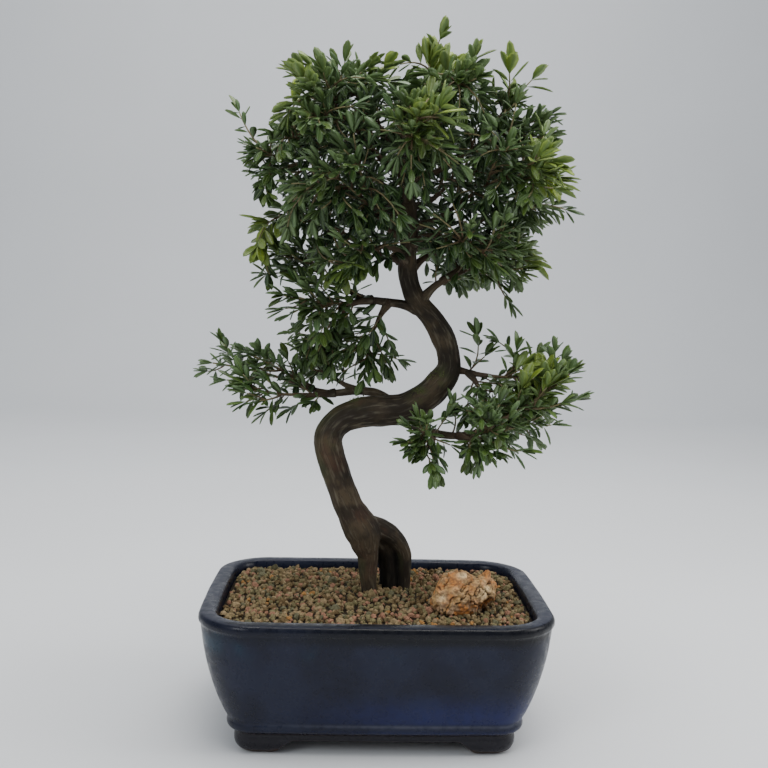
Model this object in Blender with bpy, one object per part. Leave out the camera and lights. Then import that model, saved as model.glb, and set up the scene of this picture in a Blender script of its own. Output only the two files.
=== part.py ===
"""Compact myrtle bonsai in a glazed rectangular pot, with its soil and an accent stone.

Metres, +Z up. The origin is on the surface that the pot stands on, under the centre of the pot.
+X is to the right and +Y to the back as one faces the long side of the pot.
"""

import math
import random

import bmesh
import bpy
import numpy as np
from mathutils import Matrix, Quaternion, Vector, noise
from mathutils.bvhtree import BVHTree

MM = 0.001
GAP = 0.3 * MM
WELD = 0.01 * MM
SAME_PLACE = 0.0005 * MM

# Pot: plan sizes are halves of a rounded rectangle, as (half length, half depth, corner radius, height)
POT_BOW = 0.022
CORNER_STEPS = 4
SIDE_STEPS = 2
POT_OUTSIDE = [
    (76.0, 56.6, 6.6, 0.0),
    (79.6, 60.0, 8.8, 2.0),
    (81.4, 61.8, 10.3, 5.0),
    (81.8, 62.2, 10.7, 8.4),
    (81.0, 61.4, 10.0, 11.8),
    (82.4, 62.6, 11.5, 13.0),
    (85.4, 65.2, 14.0, 14.6),
    (86.2, 65.8, 14.6, 17.4),
    (85.4, 65.0, 14.2, 19.8),
    (88.0, 66.8, 16.6, 23.8),
    (92.2, 69.6, 20.6, 32.2),
    (96.6, 72.8, 24.8, 45.2),
    (99.8, 75.2, 28.0, 58.2),
    (101.4, 76.2, 29.6, 70.2),
    (101.6, 76.3, 29.8, 72.6),
    (103.0, 77.5, 31.0, 74.0),
    (103.0, 77.5, 31.0, 76.8),
    (101.4, 75.9, 29.4, 79.0),
]
POT_INSIDE = [
    (95.0, 69.5, 23.2, 79.2),
    (92.8, 67.2, 21.0, 77.8),
    (91.8, 66.2, 20.0, 74.2),
    (88.6, 63.2, 17.2, 51.2),
    (80.6, 56.0, 12.0, 28.2),
    (75.0, 50.6, 8.0, 20.6),
]
POT_FLOOR_TOP = 20.2 * MM
POT_FLOOR_INSET = (3.0, 3.0, 2.0)
FOOT_RECESS = (71.0, 51.2, 6.0)
FOOT_RECESS_HEIGHT = 10.4
FOOT_RECESS_BELOW = 1.0
ARCH_HEIGHT = 9.1 * MM
ARCH_FRONT = (62.0 * MM, 45.0 * MM)
ARCH_SIDE = (41.0 * MM, 25.0 * MM)
ARCH_REACH = (100.0 * MM, 120.0 * MM)
ARCH_STEPS = 5
ARCH_BELOW = 0.9 * MM
DRAIN_RADIUS = 7.0 * MM
DRAIN_X = 38.0 * MM
DRAIN_SIDES = 20
DRAIN_OVERSHOOT = 5.0 * MM

# Mesh screens over the drainage holes
SCREEN_SIDE = 24.0 * MM
SCREEN_THICK = 0.9 * MM
SCREEN_CELLS = 2
SCREEN_CELL = 8.0 * MM
SCREEN_MARGIN = 0.5
SCREEN_CUT_DEPTH = 4.0 * SCREEN_THICK
SCREEN_POCKET_GAP = 2.0 * GAP
SCREEN_POCKET_BELOW = 2.0 * MM

# Soil
SOIL_FIRST_SECTION = 2
SOIL_EDGE = 74.4 * MM
SOIL_MOUND = 3.4 * MM
SOIL_MOUND_X = 4.0 * MM
SOIL_MOUND_WIDTH = 46.0 * MM
SOIL_GRAIN = 0.75 * MM
SOIL_RINGS = 9
SOIL_STEPS = {"corner_steps": 4, "side_steps": 3}
SOIL_WALL_GAP = 0.45 * MM

# Accent stone
STONE_CENTRE = Vector((51.0, -30.0, 83.7)) * MM
STONE_HALF = Vector((20.5, 14.0, 13.5)) * MM
# Scale and share of the radius of its lumps and its creases. Then each lobe or dent: where it lies
# as seen from the centre, how far it moves the surface in mm, and how sharp it is.
STONE_LUMPS = (1.9, 0.18)
STONE_CREASES = (3.7, 0.20)
STONE_SUBDIVISIONS = 3
STONE_LOBES = [
    (Vector((0.76, 0.10, 0.64)), Vector((1.5, 0.0, 11.5)), 40.0),
    (Vector((-0.25, 0.10, 0.96)), Vector((0.0, 0.0, 4.0)), 12.0),
    (Vector((-0.76, 0.48, 0.44)), Vector((-2.0, 4.0, 6.0)), 20.0),
    (Vector((0.95, 0.10, 0.25)), Vector((3.0, 0.0, 3.0)), 12.0),
    (Vector((-0.60, -0.68, -0.42)), Vector((-3.5, -6.0, -2.0)), 12.0),
    (Vector((0.70, -0.50, -0.50)), Vector((-4.0, 5.0, 4.5)), 8.0),
    (Vector((0.35, 0.05, 0.93)), Vector((0.0, 0.0, -2.5)), 30.0),
    (Vector((0.05, -0.95, -0.25)), Vector((0.0, 3.0, 0.0)), 18.0),
]
STONE_GAP = 0.55 * MM

# Tree: each station is x, y, z and radius in mm
ROOT_END = 53.2
TRUNK = [
    (-4.0, 0.0, ROOT_END, 4.4), (-4.0, 0.0, 67.2, 4.4), (-4.2, 0.0, 80.2, 4.7), (-4.9, 0.0, 91.2, 5.5),
    (-5.2, 0.0, 100.0, 6.5), (-7.0, 0.5, 106.7, 8.9), (-8.8, 1.0, 113.7, 11.0), (-13.0, 1.0, 121.6, 10.5),
    (-17.5, 1.5, 129.7, 9.0), (-21.4, 2.0, 138.7, 8.5), (-26.7, 2.0, 152.2, 8.5), (-30.6, 1.0, 164.7, 8.8),
    (-31.3, 0.0, 171.7, 8.5), (-28.5, 0.0, 178.7, 8.4), (-22.5, -0.5, 184.2, 8.6), (-14.6, -1.0, 187.4, 9.0),
    (-6.1, -2.0, 189.5, 9.3), (5.0, -2.5, 190.2, 9.3), (15.1, -3.0, 191.8, 9.2), (27.1, -3.0, 198.9, 8.9),
    (36.1, -2.0, 207.6, 8.4), (41.5, 0.0, 216.7, 7.4), (40.4, 3.0, 227.6, 6.9), (37.0, 5.0, 236.2, 7.6),
    (31.0, 6.0, 246.2, 6.7), (22.5, 6.0, 255.4, 6.3), (15.9, 4.0, 267.4, 6.0), (14.1, 2.0, 283.5, 5.5),
    (15.5, 0.0, 298.2, 5.0), (13.8, 0.0, 314.4, 4.3), (10.9, 0.0, 332.1, 3.4), (9.0, 1.0, 350.2, 2.1),
    (8.0, 1.0, 360.2, 1.2),
]
ROOTS = [
    [
        (-10.5, 3.0, 116.8, 7.5), (-3.0, 4.5, 116.2, 7.4), (4.5, 6.0, 113.8, 6.6), (13.0, 8.0, 107.6, 5.2),
        (17.9, 9.0, 98.2, 4.4), (18.2, 10.0, 88.3, 3.9), (18.3, 11.0, 79.0, 3.9), (18.3, 11.0, ROOT_END, 3.6),
    ],
    [
        (-7.0, 6.0, 113.2, 7.0), (0.0, 10.0, 109.2, 7.2), (6.0, 13.0, 101.0, 7.2), (9.0, 14.0, 89.2, 6.9),
        (9.5, 14.0, 78.2, 6.8), (9.5, 14.0, ROOT_END, 6.2),
    ],
]
HOLE_GAP = 0.45 * MM
HOLE_SIDES = 16
ROOT_HOLE_TOP = 93.0 * MM
CURVE_SAMPLES = 12
TRUNK_STEP = 10.0 * MM
BRANCH_STEP = 17.0 * MM

# Roundness of each tube: 2 * level + 4 sides
TRUNK_LEVEL = 3
ROOT_LEVEL = 1
TWIG_LEVEL = 0

# Branches outside the crown: the stations of each, the place of its spray's furthest twig tip, and
# how much its leaves droop
TWIG_RADIUS = 1.1
BRANCHES = {
    "left_pad_spray_1": ([(8.0, 0.0, 193.2, 3.2), (-2.0, 7.0, 199.6, 2.8), (-14.0, 13.0, 200.4, 2.5),
                          (-31.0, 20.0, 198.1, 2.1), (-47.0, 26.0, 200.9, 1.7), (-57.0, 30.0, 204.4, 1.2)],
                         (-107.0, 39.0, 214.2), 0.10),
    "left_pad_spray_2": ([(-28.0, 19.0, 198.4, 1.9), (-40.0, 12.0, 197.2, 1.6), (-50.0, 8.0, 197.8, 1.1)],
                         (-83.0, 2.0, 201.2), 0.20),
    "left_pad_spray_3": ([(-14.0, 13.0, 200.4, 1.9), (-23.0, 20.0, 204.2, 1.5), (-29.0, 25.0, 207.7, 1.1)],
                         (-44.0, 44.0, 217.2), 0.15),
    "left_pad_spray_4": ([(-42.0, 24.0, 200.0, 1.7), (-50.0, 20.0, 204.7, 1.4), (-55.0, 17.0, 208.2, 1.1)],
                         (-78.0, 16.0, 220.2), 0.10),
    "mid_spray_1": ([(26.0, 6.0, 251.2, 3.4), (12.0, 6.0, 254.7, 2.8), (0.5, 8.0, 256.1, 2.4),
                     (-11.0, 11.0, 257.8, 2.0), (-22.0, 14.0, 263.2, 1.6), (-31.0, 16.0, 268.2, 1.2)],
                    (-60.0, 20.0, 284.2), 0.15),
    "mid_spray_2": ([(-6.0, 10.0, 257.2, 2.0), (-16.0, 5.0, 255.2, 1.6), (-24.0, 0.0, 254.2, 1.1)],
                    (-50.0, -10.0, 257.2), 0.35),
    "mid_spray_3": ([(-11.0, 11.0, 257.8, 1.9), (-20.0, 14.0, 253.2, 1.5), (-26.0, 17.0, 246.7, 1.1)],
                    (-40.0, 24.0, 224.2), 0.45),
    "mid_spray_4": ([(4.0, 7.5, 255.8, 2.0), (-1.0, 11.0, 247.2, 1.5), (-4.0, 13.0, 239.7, 1.1)],
                    (-9.0, 15.0, 216.2), 0.45),
    "right_pad_spray_1": ([(15.0, -3.0, 189.7, 3.2), (21.5, -7.5, 182.0, 2.9), (32.0, -14.0, 178.4, 2.5),
                           (46.0, -21.0, 178.0, 2.1), (59.0, -26.0, 181.6, 1.7), (69.0, -29.0, 188.2, 1.2)],
                          (107.0, -39.0, 217.2), 0.05),
    "right_pad_spray_2": ([(59.0, -26.0, 181.6, 1.8), (66.0, -22.0, 181.6, 1.4), (72.0, -19.0, 182.0, 1.1)],
                          (95.0, -12.0, 191.2), 0.30),
    "right_pad_spray_3": ([(46.0, -21.0, 178.0, 1.8), (50.0, -29.0, 177.2, 1.4), (53.0, -35.0, 178.2, 1.1)],
                          (61.0, -56.0, 189.2), 0.40),
    "right_pad_spray_4": ([(32.0, -14.0, 178.4, 1.8), (32.0, -21.0, 177.6, 1.4), (30.5, -27.0, 177.6, 1.1)],
                          (20.0, -44.0, 175.0), 0.40),
    "right_pad_spray_5": ([(40.0, 1.0, 216.7, 3.0), (49.5, -1.0, 215.2, 2.0), (58.0, -4.0, 213.6, 1.6),
                           (66.0, -7.0, 213.0, 1.2)], (92.0, -10.0, 214.2), 0.20),
    "right_pad_spray_6": ([(53.0, -2.0, 214.6, 1.7), (57.0, -5.0, 209.5, 1.4), (59.5, -8.0, 205.0, 1.1)],
                          (67.0, -14.0, 190.0), 0.30),
    "right_low_spray_1": ([(22.0, 5.0, 255.7, 3.0), (31.0, 2.0, 265.7, 2.3), (40.4, 0.0, 272.0, 1.8),
                           (49.0, -2.0, 275.7, 1.2)], (80.0, -6.0, 276.2), 0.35),
    "right_low_spray_2": ([(36.0, 1.0, 269.4, 1.9), (45.0, 8.0, 276.2, 1.5), (53.0, 14.0, 282.2, 1.1)],
                          (88.0, 32.0, 295.2), 0.25),
    "under_crown_spray_1": ([(15.0, 2.0, 278.2, 2.6), (8.0, -8.0, 286.2, 2.0), (0.0, -16.0, 288.2, 1.5),
                             (-6.0, -22.0, 286.2, 1.1)], (-24.0, -44.0, 273.2), 0.45),
    "under_crown_spray_2": ([(15.5, 4.0, 275.2, 2.6), (26.0, 12.0, 284.2, 2.0), (33.0, 18.0, 287.2, 1.5),
                             (38.0, 23.0, 285.2, 1.1)], (52.0, 48.0, 272.2), 0.45),
    "under_crown_spray_3": ([(14.5, 1.0, 289.2, 2.4), (24.0, -8.0, 295.2, 1.8), (33.0, -16.0, 295.2, 1.1)],
                            (56.0, -40.0, 283.2), 0.40),
}

# Crown: branches leave the leader in a spiral, and their tips lie on an ellipsoid
CROWN_SPRAYS = 15
CROWN_CENTRE = Vector((12.0, 0.0, 335.2)) * MM
CROWN_HALF = Vector((88.0, 69.0, 62.0)) * MM
CROWN_LOWEST = -0.42
CROWN_FIRST_TURN = 0.5
CROWN_FIRST_SHARE = 0.35
CROWN_TWIG_START = 0.46
CROWN_KNEE = Vector((0.0, 0.0, -3.0)) * MM
CROWN_DROOP = (0.12, 0.25)
CROWN_LEADER = (279.2 * MM, 353.2 * MM)
CROWN_LEADER_STEP = 4.0 * MM
CROWN_BRANCH_RADII = (2.4, 1.8)
GOLDEN_ANGLE = math.pi * (3.0 - math.sqrt(5.0))

# Twigs of a spray: a main one, and side twigs that leave it at these shares of its length. The
# weights say how far a side twig points along the main one and how far across it, first as it
# leaves, then on the whole.
MAIN_TWIG_TIP = 0.8
MAIN_TWIG_BOW = 0.45
MAIN_TWIG_ROWS = 4
SIDE_TWIG_STARTS = (0.34, 0.58)
SIDE_TWIG_RADII = (0.85, 0.75)
SIDE_TWIG_LEAVES = (0.62, 0.78)
SIDE_TWIG_HEADS = (0.9, 0.62)
SIDE_TWIG_REACH = (0.50, 0.06)
SIDE_TWIG_BOW = 0.5
SIDE_TWIG_ROWS = 3
TWIG_JITTER = 0.3

# Leaves. Their places on a spray are the twig's number, the share of its length, the angle from
# it, the turn about it, and the size. Each twig has an end leaf and a pair behind it.
END_LEAF = (0.97, 0.12, 0.0, 0.95)
END_PAIR = [(0.94, 0.85, 0.0, 1.0), (0.94, 0.85, math.pi, 1.0)]
MORE_LEAVES = [
    (0, 0.76, 1.0, math.pi / 2.0, 1.0),
    (0, 0.76, 1.0, -math.pi / 2.0, 1.0),
    (1, 0.60, 1.0, math.pi / 2.0, 1.0),
]
TURN_JITTER = 0.45
LEAN_JITTER = 0.22
FACE_AHEAD = 0.5
FACE_JITTER = 0.35
FACE_LEAST = 0.2
WIDTH_RANGE = (0.85, 1.15)
CURL_RANGE = (-0.12, 0.06)
LEAF_LENGTH = (12.0 * MM, 19.0 * MM)
LEAF_WIDTH = 0.30
LEAF_THICK = 0.9 * MM
LEAF_SECTIONS = ((0.36, 1.0), (0.70, 0.80))
LEAF_FOLD = 0.14
LEAF_SUNK = 0.45 * MM
LEAF_BARE = 2.4 * MM
LEAF_CLEARANCE = 0.5 * MM
LEAF_TRIES = 14

# Seeds: each spray has a range of its own, and each new try the next number in it
SEED = 11
TWIG_SEEDS = 1000
TWIG_SEED_STEP = 50
LEAF_SEEDS = 77
LEAF_SEED_STEP = 1000

# Colours
GLAZE_BLUE = (0.016, 0.024, 0.055)
SOIL_BROWN = (0.165, 0.105, 0.052)
STONE_OCHRE = (0.42, 0.21, 0.09)
BARK_BROWN = (0.075, 0.048, 0.03)
LEAF_GREEN = (0.045, 0.105, 0.028)
SCREEN_BLACK = (0.02, 0.02, 0.02)


def clear_scene():
    """Remove every object of the scene."""
    for item in list(bpy.data.objects):
        bpy.data.objects.remove(item, do_unlink=True)


def new_collection(name):
    """Make a collection in the scene."""
    group = bpy.data.collections.new(name)
    bpy.context.scene.collection.children.link(group)
    return group


def new_material(name, colour, roughness, metallic=0.0):
    """Make a plain material of one colour."""
    material = bpy.data.materials.new(name)
    material.use_nodes = True
    shader = material.node_tree.nodes["Principled BSDF"]
    shader.inputs["Base Color"].default_value = (*colour, 1.0)
    shader.inputs["Roughness"].default_value = roughness
    shader.inputs["Metallic"].default_value = metallic
    material.diffuse_color = (*colour, 1.0)
    return material


def mesh_object(name, vertices, faces, group):
    """Make an object of the given vertices and faces, all facing out."""
    mesh = bpy.data.meshes.new(name)
    mesh.from_pydata([tuple(v) for v in vertices], [], faces)
    shape = bmesh.new()
    shape.from_mesh(mesh)
    bmesh.ops.recalc_face_normals(shape, faces=shape.faces)
    shape.to_mesh(mesh)
    shape.free()
    item = bpy.data.objects.new(name, mesh)
    group.objects.link(item)
    return item


def rounded_ring(half_x, half_y, radius, z, corner_steps=CORNER_STEPS, side_steps=SIDE_STEPS, bow=POT_BOW):
    """Points of a rounded rectangle with gently bowed sides, counter-clockwise, sizes in metres."""
    flat_x = half_x / (1.0 + bow)
    flat_y = half_y / (1.0 + bow)
    corners = []
    for quarter in range(4):
        sign_x = 1.0 if quarter in (0, 3) else -1.0
        sign_y = 1.0 if quarter in (0, 1) else -1.0
        centre = Vector((sign_x * (flat_x - radius), sign_y * (flat_y - radius), z))
        arc = []
        for step in range(corner_steps + 1):
            angle = math.pi / 2.0 * (quarter + step / corner_steps)
            arc.append(centre + radius * Vector((math.cos(angle), math.sin(angle), 0.0)))
        corners.append(arc)
    points = []
    for quarter, arc in enumerate(corners):
        points.extend(arc)
        following = corners[(quarter + 1) % 4][0]
        for step in range(1, side_steps + 1):
            points.append(arc[-1].lerp(following, step / (side_steps + 1)))
    for point in points:
        along_x = point.x / flat_x
        along_y = point.y / flat_y
        point.x *= 1.0 + bow * (1.0 - along_y * along_y)
        point.y *= 1.0 + bow * (1.0 - along_x * along_x)
    return points


def pot_ring(section, inset=0.0, **steps):
    """Ring of a pot section given in mm, optionally inset in metres."""
    half_x, half_y, radius, z = (value * MM for value in section)
    return rounded_ring(half_x - inset, half_y - inset, radius - inset, z, **steps)


def loft(name, rings, group):
    """Closed skin over rings of equal length; a ring of one point closes that end in a fan."""
    vertices = []
    starts = []
    for ring in rings:
        starts.append(len(vertices))
        vertices.extend(ring)
    faces = []
    for lower, upper in zip(range(len(rings) - 1), range(1, len(rings))):
        count = max(len(rings[lower]), len(rings[upper]))
        for i in range(count):
            j = (i + 1) % count
            low = starts[lower]
            high = starts[upper]
            if len(rings[upper]) == 1:
                faces.append((low + i, low + j, high))
            elif len(rings[lower]) == 1:
                faces.append((low, high + j, high + i))
            else:
                faces.append((low + i, low + j, high + j, high + i))
    for end, ring in ((0, rings[0]), (-1, rings[-1])):
        if len(ring) > 1:
            faces.append(tuple(starts[end] + i for i in range(len(ring))))
    return mesh_object(name, vertices, faces, group)


def hide_cutter(item):
    """Mark an object as a cutter."""
    item.hide_render = True
    item.display_type = "WIRE"


def cut(target, cutter, name):
    """Subtract a cutter from the target."""
    hide_cutter(cutter)
    boolean = target.modifiers.new(name, "BOOLEAN")
    boolean.operation = "DIFFERENCE"
    boolean.solver = "EXACT"
    boolean.object = cutter


def cylinder(name, radius, low, high, x, y, sides, group):
    """Upright cylinder between two heights."""
    shape = bmesh.new()
    place = Matrix.Translation((x, y, (low + high) / 2.0))
    bmesh.ops.create_cone(
        shape, cap_ends=True, segments=sides, radius1=radius, radius2=radius, depth=high - low, matrix=place
    )
    mesh = bpy.data.meshes.new(name)
    shape.to_mesh(mesh)
    shape.free()
    item = bpy.data.objects.new(name, mesh)
    group.objects.link(item)
    return item


def box(name, size, centre, group):
    """Upright box."""
    shape = bmesh.new()
    bmesh.ops.create_cube(shape, size=1.0, matrix=Matrix.Translation(centre) @ Matrix.Diagonal((*size, 1.0)))
    mesh = bpy.data.meshes.new(name)
    shape.to_mesh(mesh)
    shape.free()
    item = bpy.data.objects.new(name, mesh)
    group.objects.link(item)
    return item


def arch_cutter(name, wide, narrow, reach, turn, group):
    """Prism with an ogee outline that opens the foot ring between two feet."""
    outline = []
    for step in range(ARCH_STEPS + 1):
        t = step / ARCH_STEPS
        lift = (1.0 - math.cos(math.pi * t)) / 2.0
        outline.append((-wide + t * (wide - narrow), lift * (ARCH_HEIGHT + ARCH_BELOW) - ARCH_BELOW))
    outline += [(-x, z) for x, z in reversed(outline)]
    curve = bpy.data.curves.new(name, "CURVE")
    curve.dimensions = "2D"
    curve.fill_mode = "BOTH"
    curve.extrude = reach
    spline = curve.splines.new("POLY")
    spline.points.add(len(outline) - 1)
    for point, (x, z) in zip(spline.points, outline):
        point.co = (x, z, 0.0, 1.0)
    spline.use_cyclic_u = True
    item = bpy.data.objects.new(name, curve)
    item.matrix_world = Matrix.Rotation(turn, 4, "Z") @ Matrix.Rotation(math.pi / 2.0, 4, "X")
    group.objects.link(item)
    return curve_to_mesh(item, group)


def curve_to_mesh(item, group):
    """Replace a curve object by a mesh object with welded caps."""
    bpy.context.view_layer.update()
    depsgraph = bpy.context.evaluated_depsgraph_get()
    mesh = bpy.data.meshes.new_from_object(item.evaluated_get(depsgraph))
    shape = bmesh.new()
    shape.from_mesh(mesh)
    bmesh.ops.remove_doubles(shape, verts=shape.verts, dist=WELD)
    bmesh.ops.recalc_face_normals(shape, faces=shape.faces)
    shape.to_mesh(mesh)
    shape.free()
    name = item.name
    place = item.matrix_world.copy()
    bpy.data.objects.remove(item, do_unlink=True)
    mesh.transform(place)
    solid = bpy.data.objects.new(name, mesh)
    group.objects.link(solid)
    return solid


def floor_section(height):
    """Section at the edge of the pot's floor, inset for the rounding at its corner, in mm."""
    half_x, half_y, radius, _ = POT_INSIDE[-1]
    return (
        half_x - POT_FLOOR_INSET[0], half_y - POT_FLOOR_INSET[1], radius - POT_FLOOR_INSET[2], height / MM
    )


def make_pot(parts, cutters):
    """Pot of one piece: bulging walls, lip, belt, recessed band and four feet."""
    outside = [pot_ring(section) for section in POT_OUTSIDE]
    inside = [pot_ring(section) for section in POT_INSIDE]
    pot = loft("pot", outside + inside + [pot_ring(floor_section(POT_FLOOR_TOP))], parts)
    ends = (-FOOT_RECESS_BELOW, FOOT_RECESS_HEIGHT)
    recess = loft("foot_recess", [pot_ring((*FOOT_RECESS, z)) for z in ends], cutters)
    cut(pot, recess, "Foot recess")
    cut(pot, arch_cutter("front_arch", *ARCH_FRONT, ARCH_REACH[0], 0.0, cutters), "Front and back arches")
    cut(pot, arch_cutter("side_arch", *ARCH_SIDE, ARCH_REACH[1], math.pi / 2.0, cutters), "Side arches")
    for side, x in (("left", -DRAIN_X), ("right", DRAIN_X)):
        top = POT_FLOOR_TOP + DRAIN_OVERSHOOT
        hole = cylinder(f"drain_{side}", DRAIN_RADIUS, 0.0, top, x, 0.0, DRAIN_SIDES, cutters)
        cut(pot, hole, f"Drain {side}")
    return pot


def make_screen(side, x, parts, cutters):
    """Square mesh screen that lies over a drainage hole."""
    middle = POT_FLOOR_TOP + GAP + SCREEN_THICK / 2.0
    screen = box(
        f"drainage_screen_{side}", (SCREEN_SIDE, SCREEN_SIDE, SCREEN_THICK), Vector((x, 0.0, middle)), parts
    )
    pitch = SCREEN_SIDE / (SCREEN_CELLS + SCREEN_MARGIN)
    middle_cell = (SCREEN_CELLS - 1) / 2.0
    for row in range(SCREEN_CELLS):
        for column in range(SCREEN_CELLS):
            offset = Vector((column - middle_cell, row - middle_cell, 0.0)) * pitch
            cell = box(
                f"screen_{side}_cell_{row}_{column}",
                (SCREEN_CELL, SCREEN_CELL, SCREEN_CUT_DEPTH),
                Vector((x, 0.0, middle)) + offset,
                cutters,
            )
            cut(screen, cell, f"Cell {row} {column}")
    return screen


def soil_height(x, y, random_source):
    """Height of the soil's grainy surface: an edge level, a mound at the trunk, and the grains."""
    distance = math.hypot(x - SOIL_MOUND_X, y) / SOIL_MOUND_WIDTH
    mound = SOIL_MOUND * math.exp(-distance * distance)
    return SOIL_EDGE + mound + random_source.uniform(-SOIL_GRAIN, SOIL_GRAIN)


def make_soil(parts, cutters):
    """Soil that fills the pot, its top in relief."""
    random_source = random.Random(SEED)
    rings = [pot_ring(floor_section(POT_FLOOR_TOP + GAP), SOIL_WALL_GAP, **SOIL_STEPS)]
    for section in reversed(POT_INSIDE[SOIL_FIRST_SECTION:]):
        rings.append(pot_ring(section, SOIL_WALL_GAP, **SOIL_STEPS))
    edge = rings[-1]
    for step in range(1, SOIL_RINGS):
        share = 1.0 - step / SOIL_RINGS
        ring = []
        for point in edge:
            x = point.x * share
            y = point.y * share
            ring.append(Vector((x, y, soil_height(x, y, random_source))))
        rings.append(ring)
    rings.append([Vector((0.0, 0.0, soil_height(0.0, 0.0, random_source)))])
    soil = loft("soil", rings, parts)
    for side, x in (("left", -DRAIN_X), ("right", DRAIN_X)):
        reach = SCREEN_SIDE + 2.0 * SCREEN_POCKET_GAP
        top = POT_FLOOR_TOP + SCREEN_THICK + SCREEN_POCKET_GAP
        bottom = POT_FLOOR_TOP - SCREEN_POCKET_BELOW
        middle = Vector((x, 0.0, (top + bottom) / 2.0))
        pocket = box(f"screen_pocket_{side}", (reach, reach, top - bottom), middle, cutters)
        cut(soil, pocket, f"Screen pocket {side}")
    for number, stations in enumerate([TRUNK[:2], *[root[-2:] for root in ROOTS]]):
        rows = sorted(stations, key=lambda row: row[2])
        x, y = rows[0][0] * MM, rows[0][1] * MM
        wide = max(row[3] for row in rows) * MM + HOLE_GAP
        low = ROOT_END * MM - GAP
        hole = cylinder(f"root_hole_{number}", wide, low, ROOT_HOLE_TOP, x, y, HOLE_SIDES, cutters)
        cut(soil, hole, f"Root hole {number}")
    return soil


def stone_shape(name, grow, group):
    """Craggy stone: an icosphere whose radius follows a noise formula, with lobes and dents."""
    shape = bmesh.new()
    bmesh.ops.create_icosphere(shape, subdivisions=STONE_SUBDIVISIONS, radius=1.0)
    for vertex in shape.verts:
        way = vertex.co.normalized()
        radius = 1.0
        radius += STONE_LUMPS[1] * noise.noise(way * STONE_LUMPS[0])
        radius -= STONE_CREASES[1] * abs(noise.noise(way * STONE_CREASES[0]))
        place = Vector([a * b for a, b in zip(way, STONE_HALF)]) * radius
        for toward, shift, sharpness in STONE_LOBES:
            place += shift * MM * math.exp(sharpness * (way.dot(toward.normalized()) - 1.0))
        vertex.co = STONE_CENTRE + place + place.normalized() * grow
    mesh = bpy.data.meshes.new(name)
    shape.to_mesh(mesh)
    shape.free()
    item = bpy.data.objects.new(name, mesh)
    group.objects.link(item)
    return item


def smooth_path(stations, step):
    """Even points along a Catmull-Rom curve through stations, each row x, y, z and radius in mm."""
    rows = np.array(stations, dtype=float) * MM
    rows = np.vstack([2.0 * rows[0] - rows[1], rows, 2.0 * rows[-1] - rows[-2]])
    dense = []
    for i in range(1, len(rows) - 2):
        before, start, end, after = rows[i - 1], rows[i], rows[i + 1], rows[i + 2]
        for t in np.linspace(0.0, 1.0, CURVE_SAMPLES, endpoint=False):
            square, cube = t * t, t * t * t
            dense.append(0.5 * (
                2.0 * start
                + (end - before) * t
                + (2.0 * before - 5.0 * start + 4.0 * end - after) * square
                + (3.0 * start - before - 3.0 * end + after) * cube
            ))
    dense.append(rows[-2])
    dense = np.array(dense)
    lengths = np.linalg.norm(np.diff(dense[:, :3], axis=0), axis=1)
    travelled = np.concatenate([[0.0], np.cumsum(lengths)])
    count = max(2, int(round(travelled[-1] / step)) + 1)
    places = np.linspace(0.0, travelled[-1], count)
    return np.stack([np.interp(places, travelled, dense[:, k]) for k in range(4)], axis=1)


def tube(name, path, level, group):
    """Closed tube along a path whose rows are x, y, z and radius in metres."""
    curve = bpy.data.curves.new(name, "CURVE")
    curve.dimensions = "3D"
    curve.bevel_depth = 1.0
    curve.bevel_resolution = level
    curve.use_fill_caps = True
    spline = curve.splines.new("POLY")
    spline.points.add(len(path) - 1)
    for point, row in zip(spline.points, path):
        point.co = (*row[:3], 1.0)
        point.radius = row[3]
    item = bpy.data.objects.new(name, curve)
    group.objects.link(item)
    return curve_to_mesh(item, group)


def remove_group(group):
    """Remove a collection and its objects."""
    for item in list(group.objects):
        bpy.data.objects.remove(item, do_unlink=True)
    bpy.data.collections.remove(group)


def unite(base, group):
    """Join a group's objects into the base object, then remove them and the group."""
    boolean = base.modifiers.new("Join", "BOOLEAN")
    boolean.operation = "UNION"
    boolean.solver = "MANIFOLD"
    boolean.operand_type = "COLLECTION"
    boolean.collection = group
    bpy.context.view_layer.update()
    depsgraph = bpy.context.evaluated_depsgraph_get()
    mesh = bpy.data.meshes.new_from_object(base.evaluated_get(depsgraph))
    base.modifiers.clear()
    base.data = mesh
    remove_group(group)
    return base


def is_sound(mesh):
    """Whether every edge lies between two faces and no two points are at the same place."""
    shape = bmesh.new()
    shape.from_mesh(mesh)
    doubled = bmesh.ops.find_doubles(shape, verts=shape.verts, dist=SAME_PLACE)["targetmap"]
    sound = not doubled and all(len(edge.link_faces) == 2 for edge in shape.edges)
    shape.free()
    return sound


def crown_layout():
    """Twig tip and branch path of each spray of the crown."""
    layout = {}
    leader = smooth_path(TRUNK, CROWN_LEADER_STEP)
    for number in range(CROWN_SPRAYS):
        share = (number + CROWN_FIRST_SHARE) / CROWN_SPRAYS
        upward = 1.0 - share * (1.0 - CROWN_LOWEST)
        outward = math.sqrt(max(0.0, 1.0 - upward * upward))
        turn = CROWN_FIRST_TURN + number * GOLDEN_ANGLE
        way = Vector((outward * math.cos(turn), outward * math.sin(turn), upward))
        tip = CROWN_CENTRE + Vector([a * b for a, b in zip(way, CROWN_HALF)])
        height = CROWN_LEADER[0] + (1.0 - share) * (CROWN_LEADER[1] - CROWN_LEADER[0])
        row = leader[np.argmin(np.abs(leader[:, 2] - height))]
        start = Vector(row[:3])
        end = start.lerp(tip, CROWN_TWIG_START)
        knee = (start + end) / 2.0 + CROWN_KNEE
        points = [start, knee, end]
        radii = (*CROWN_BRANCH_RADII, TWIG_RADIUS)
        stations = [(*(point / MM), radius) for point, radius in zip(points, radii)]
        droop = CROWN_DROOP[0] + CROWN_DROOP[1] * share
        layout[f"crown_spray_{number + 1:02d}"] = (stations, tuple(tip / MM), droop)
    return layout


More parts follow.
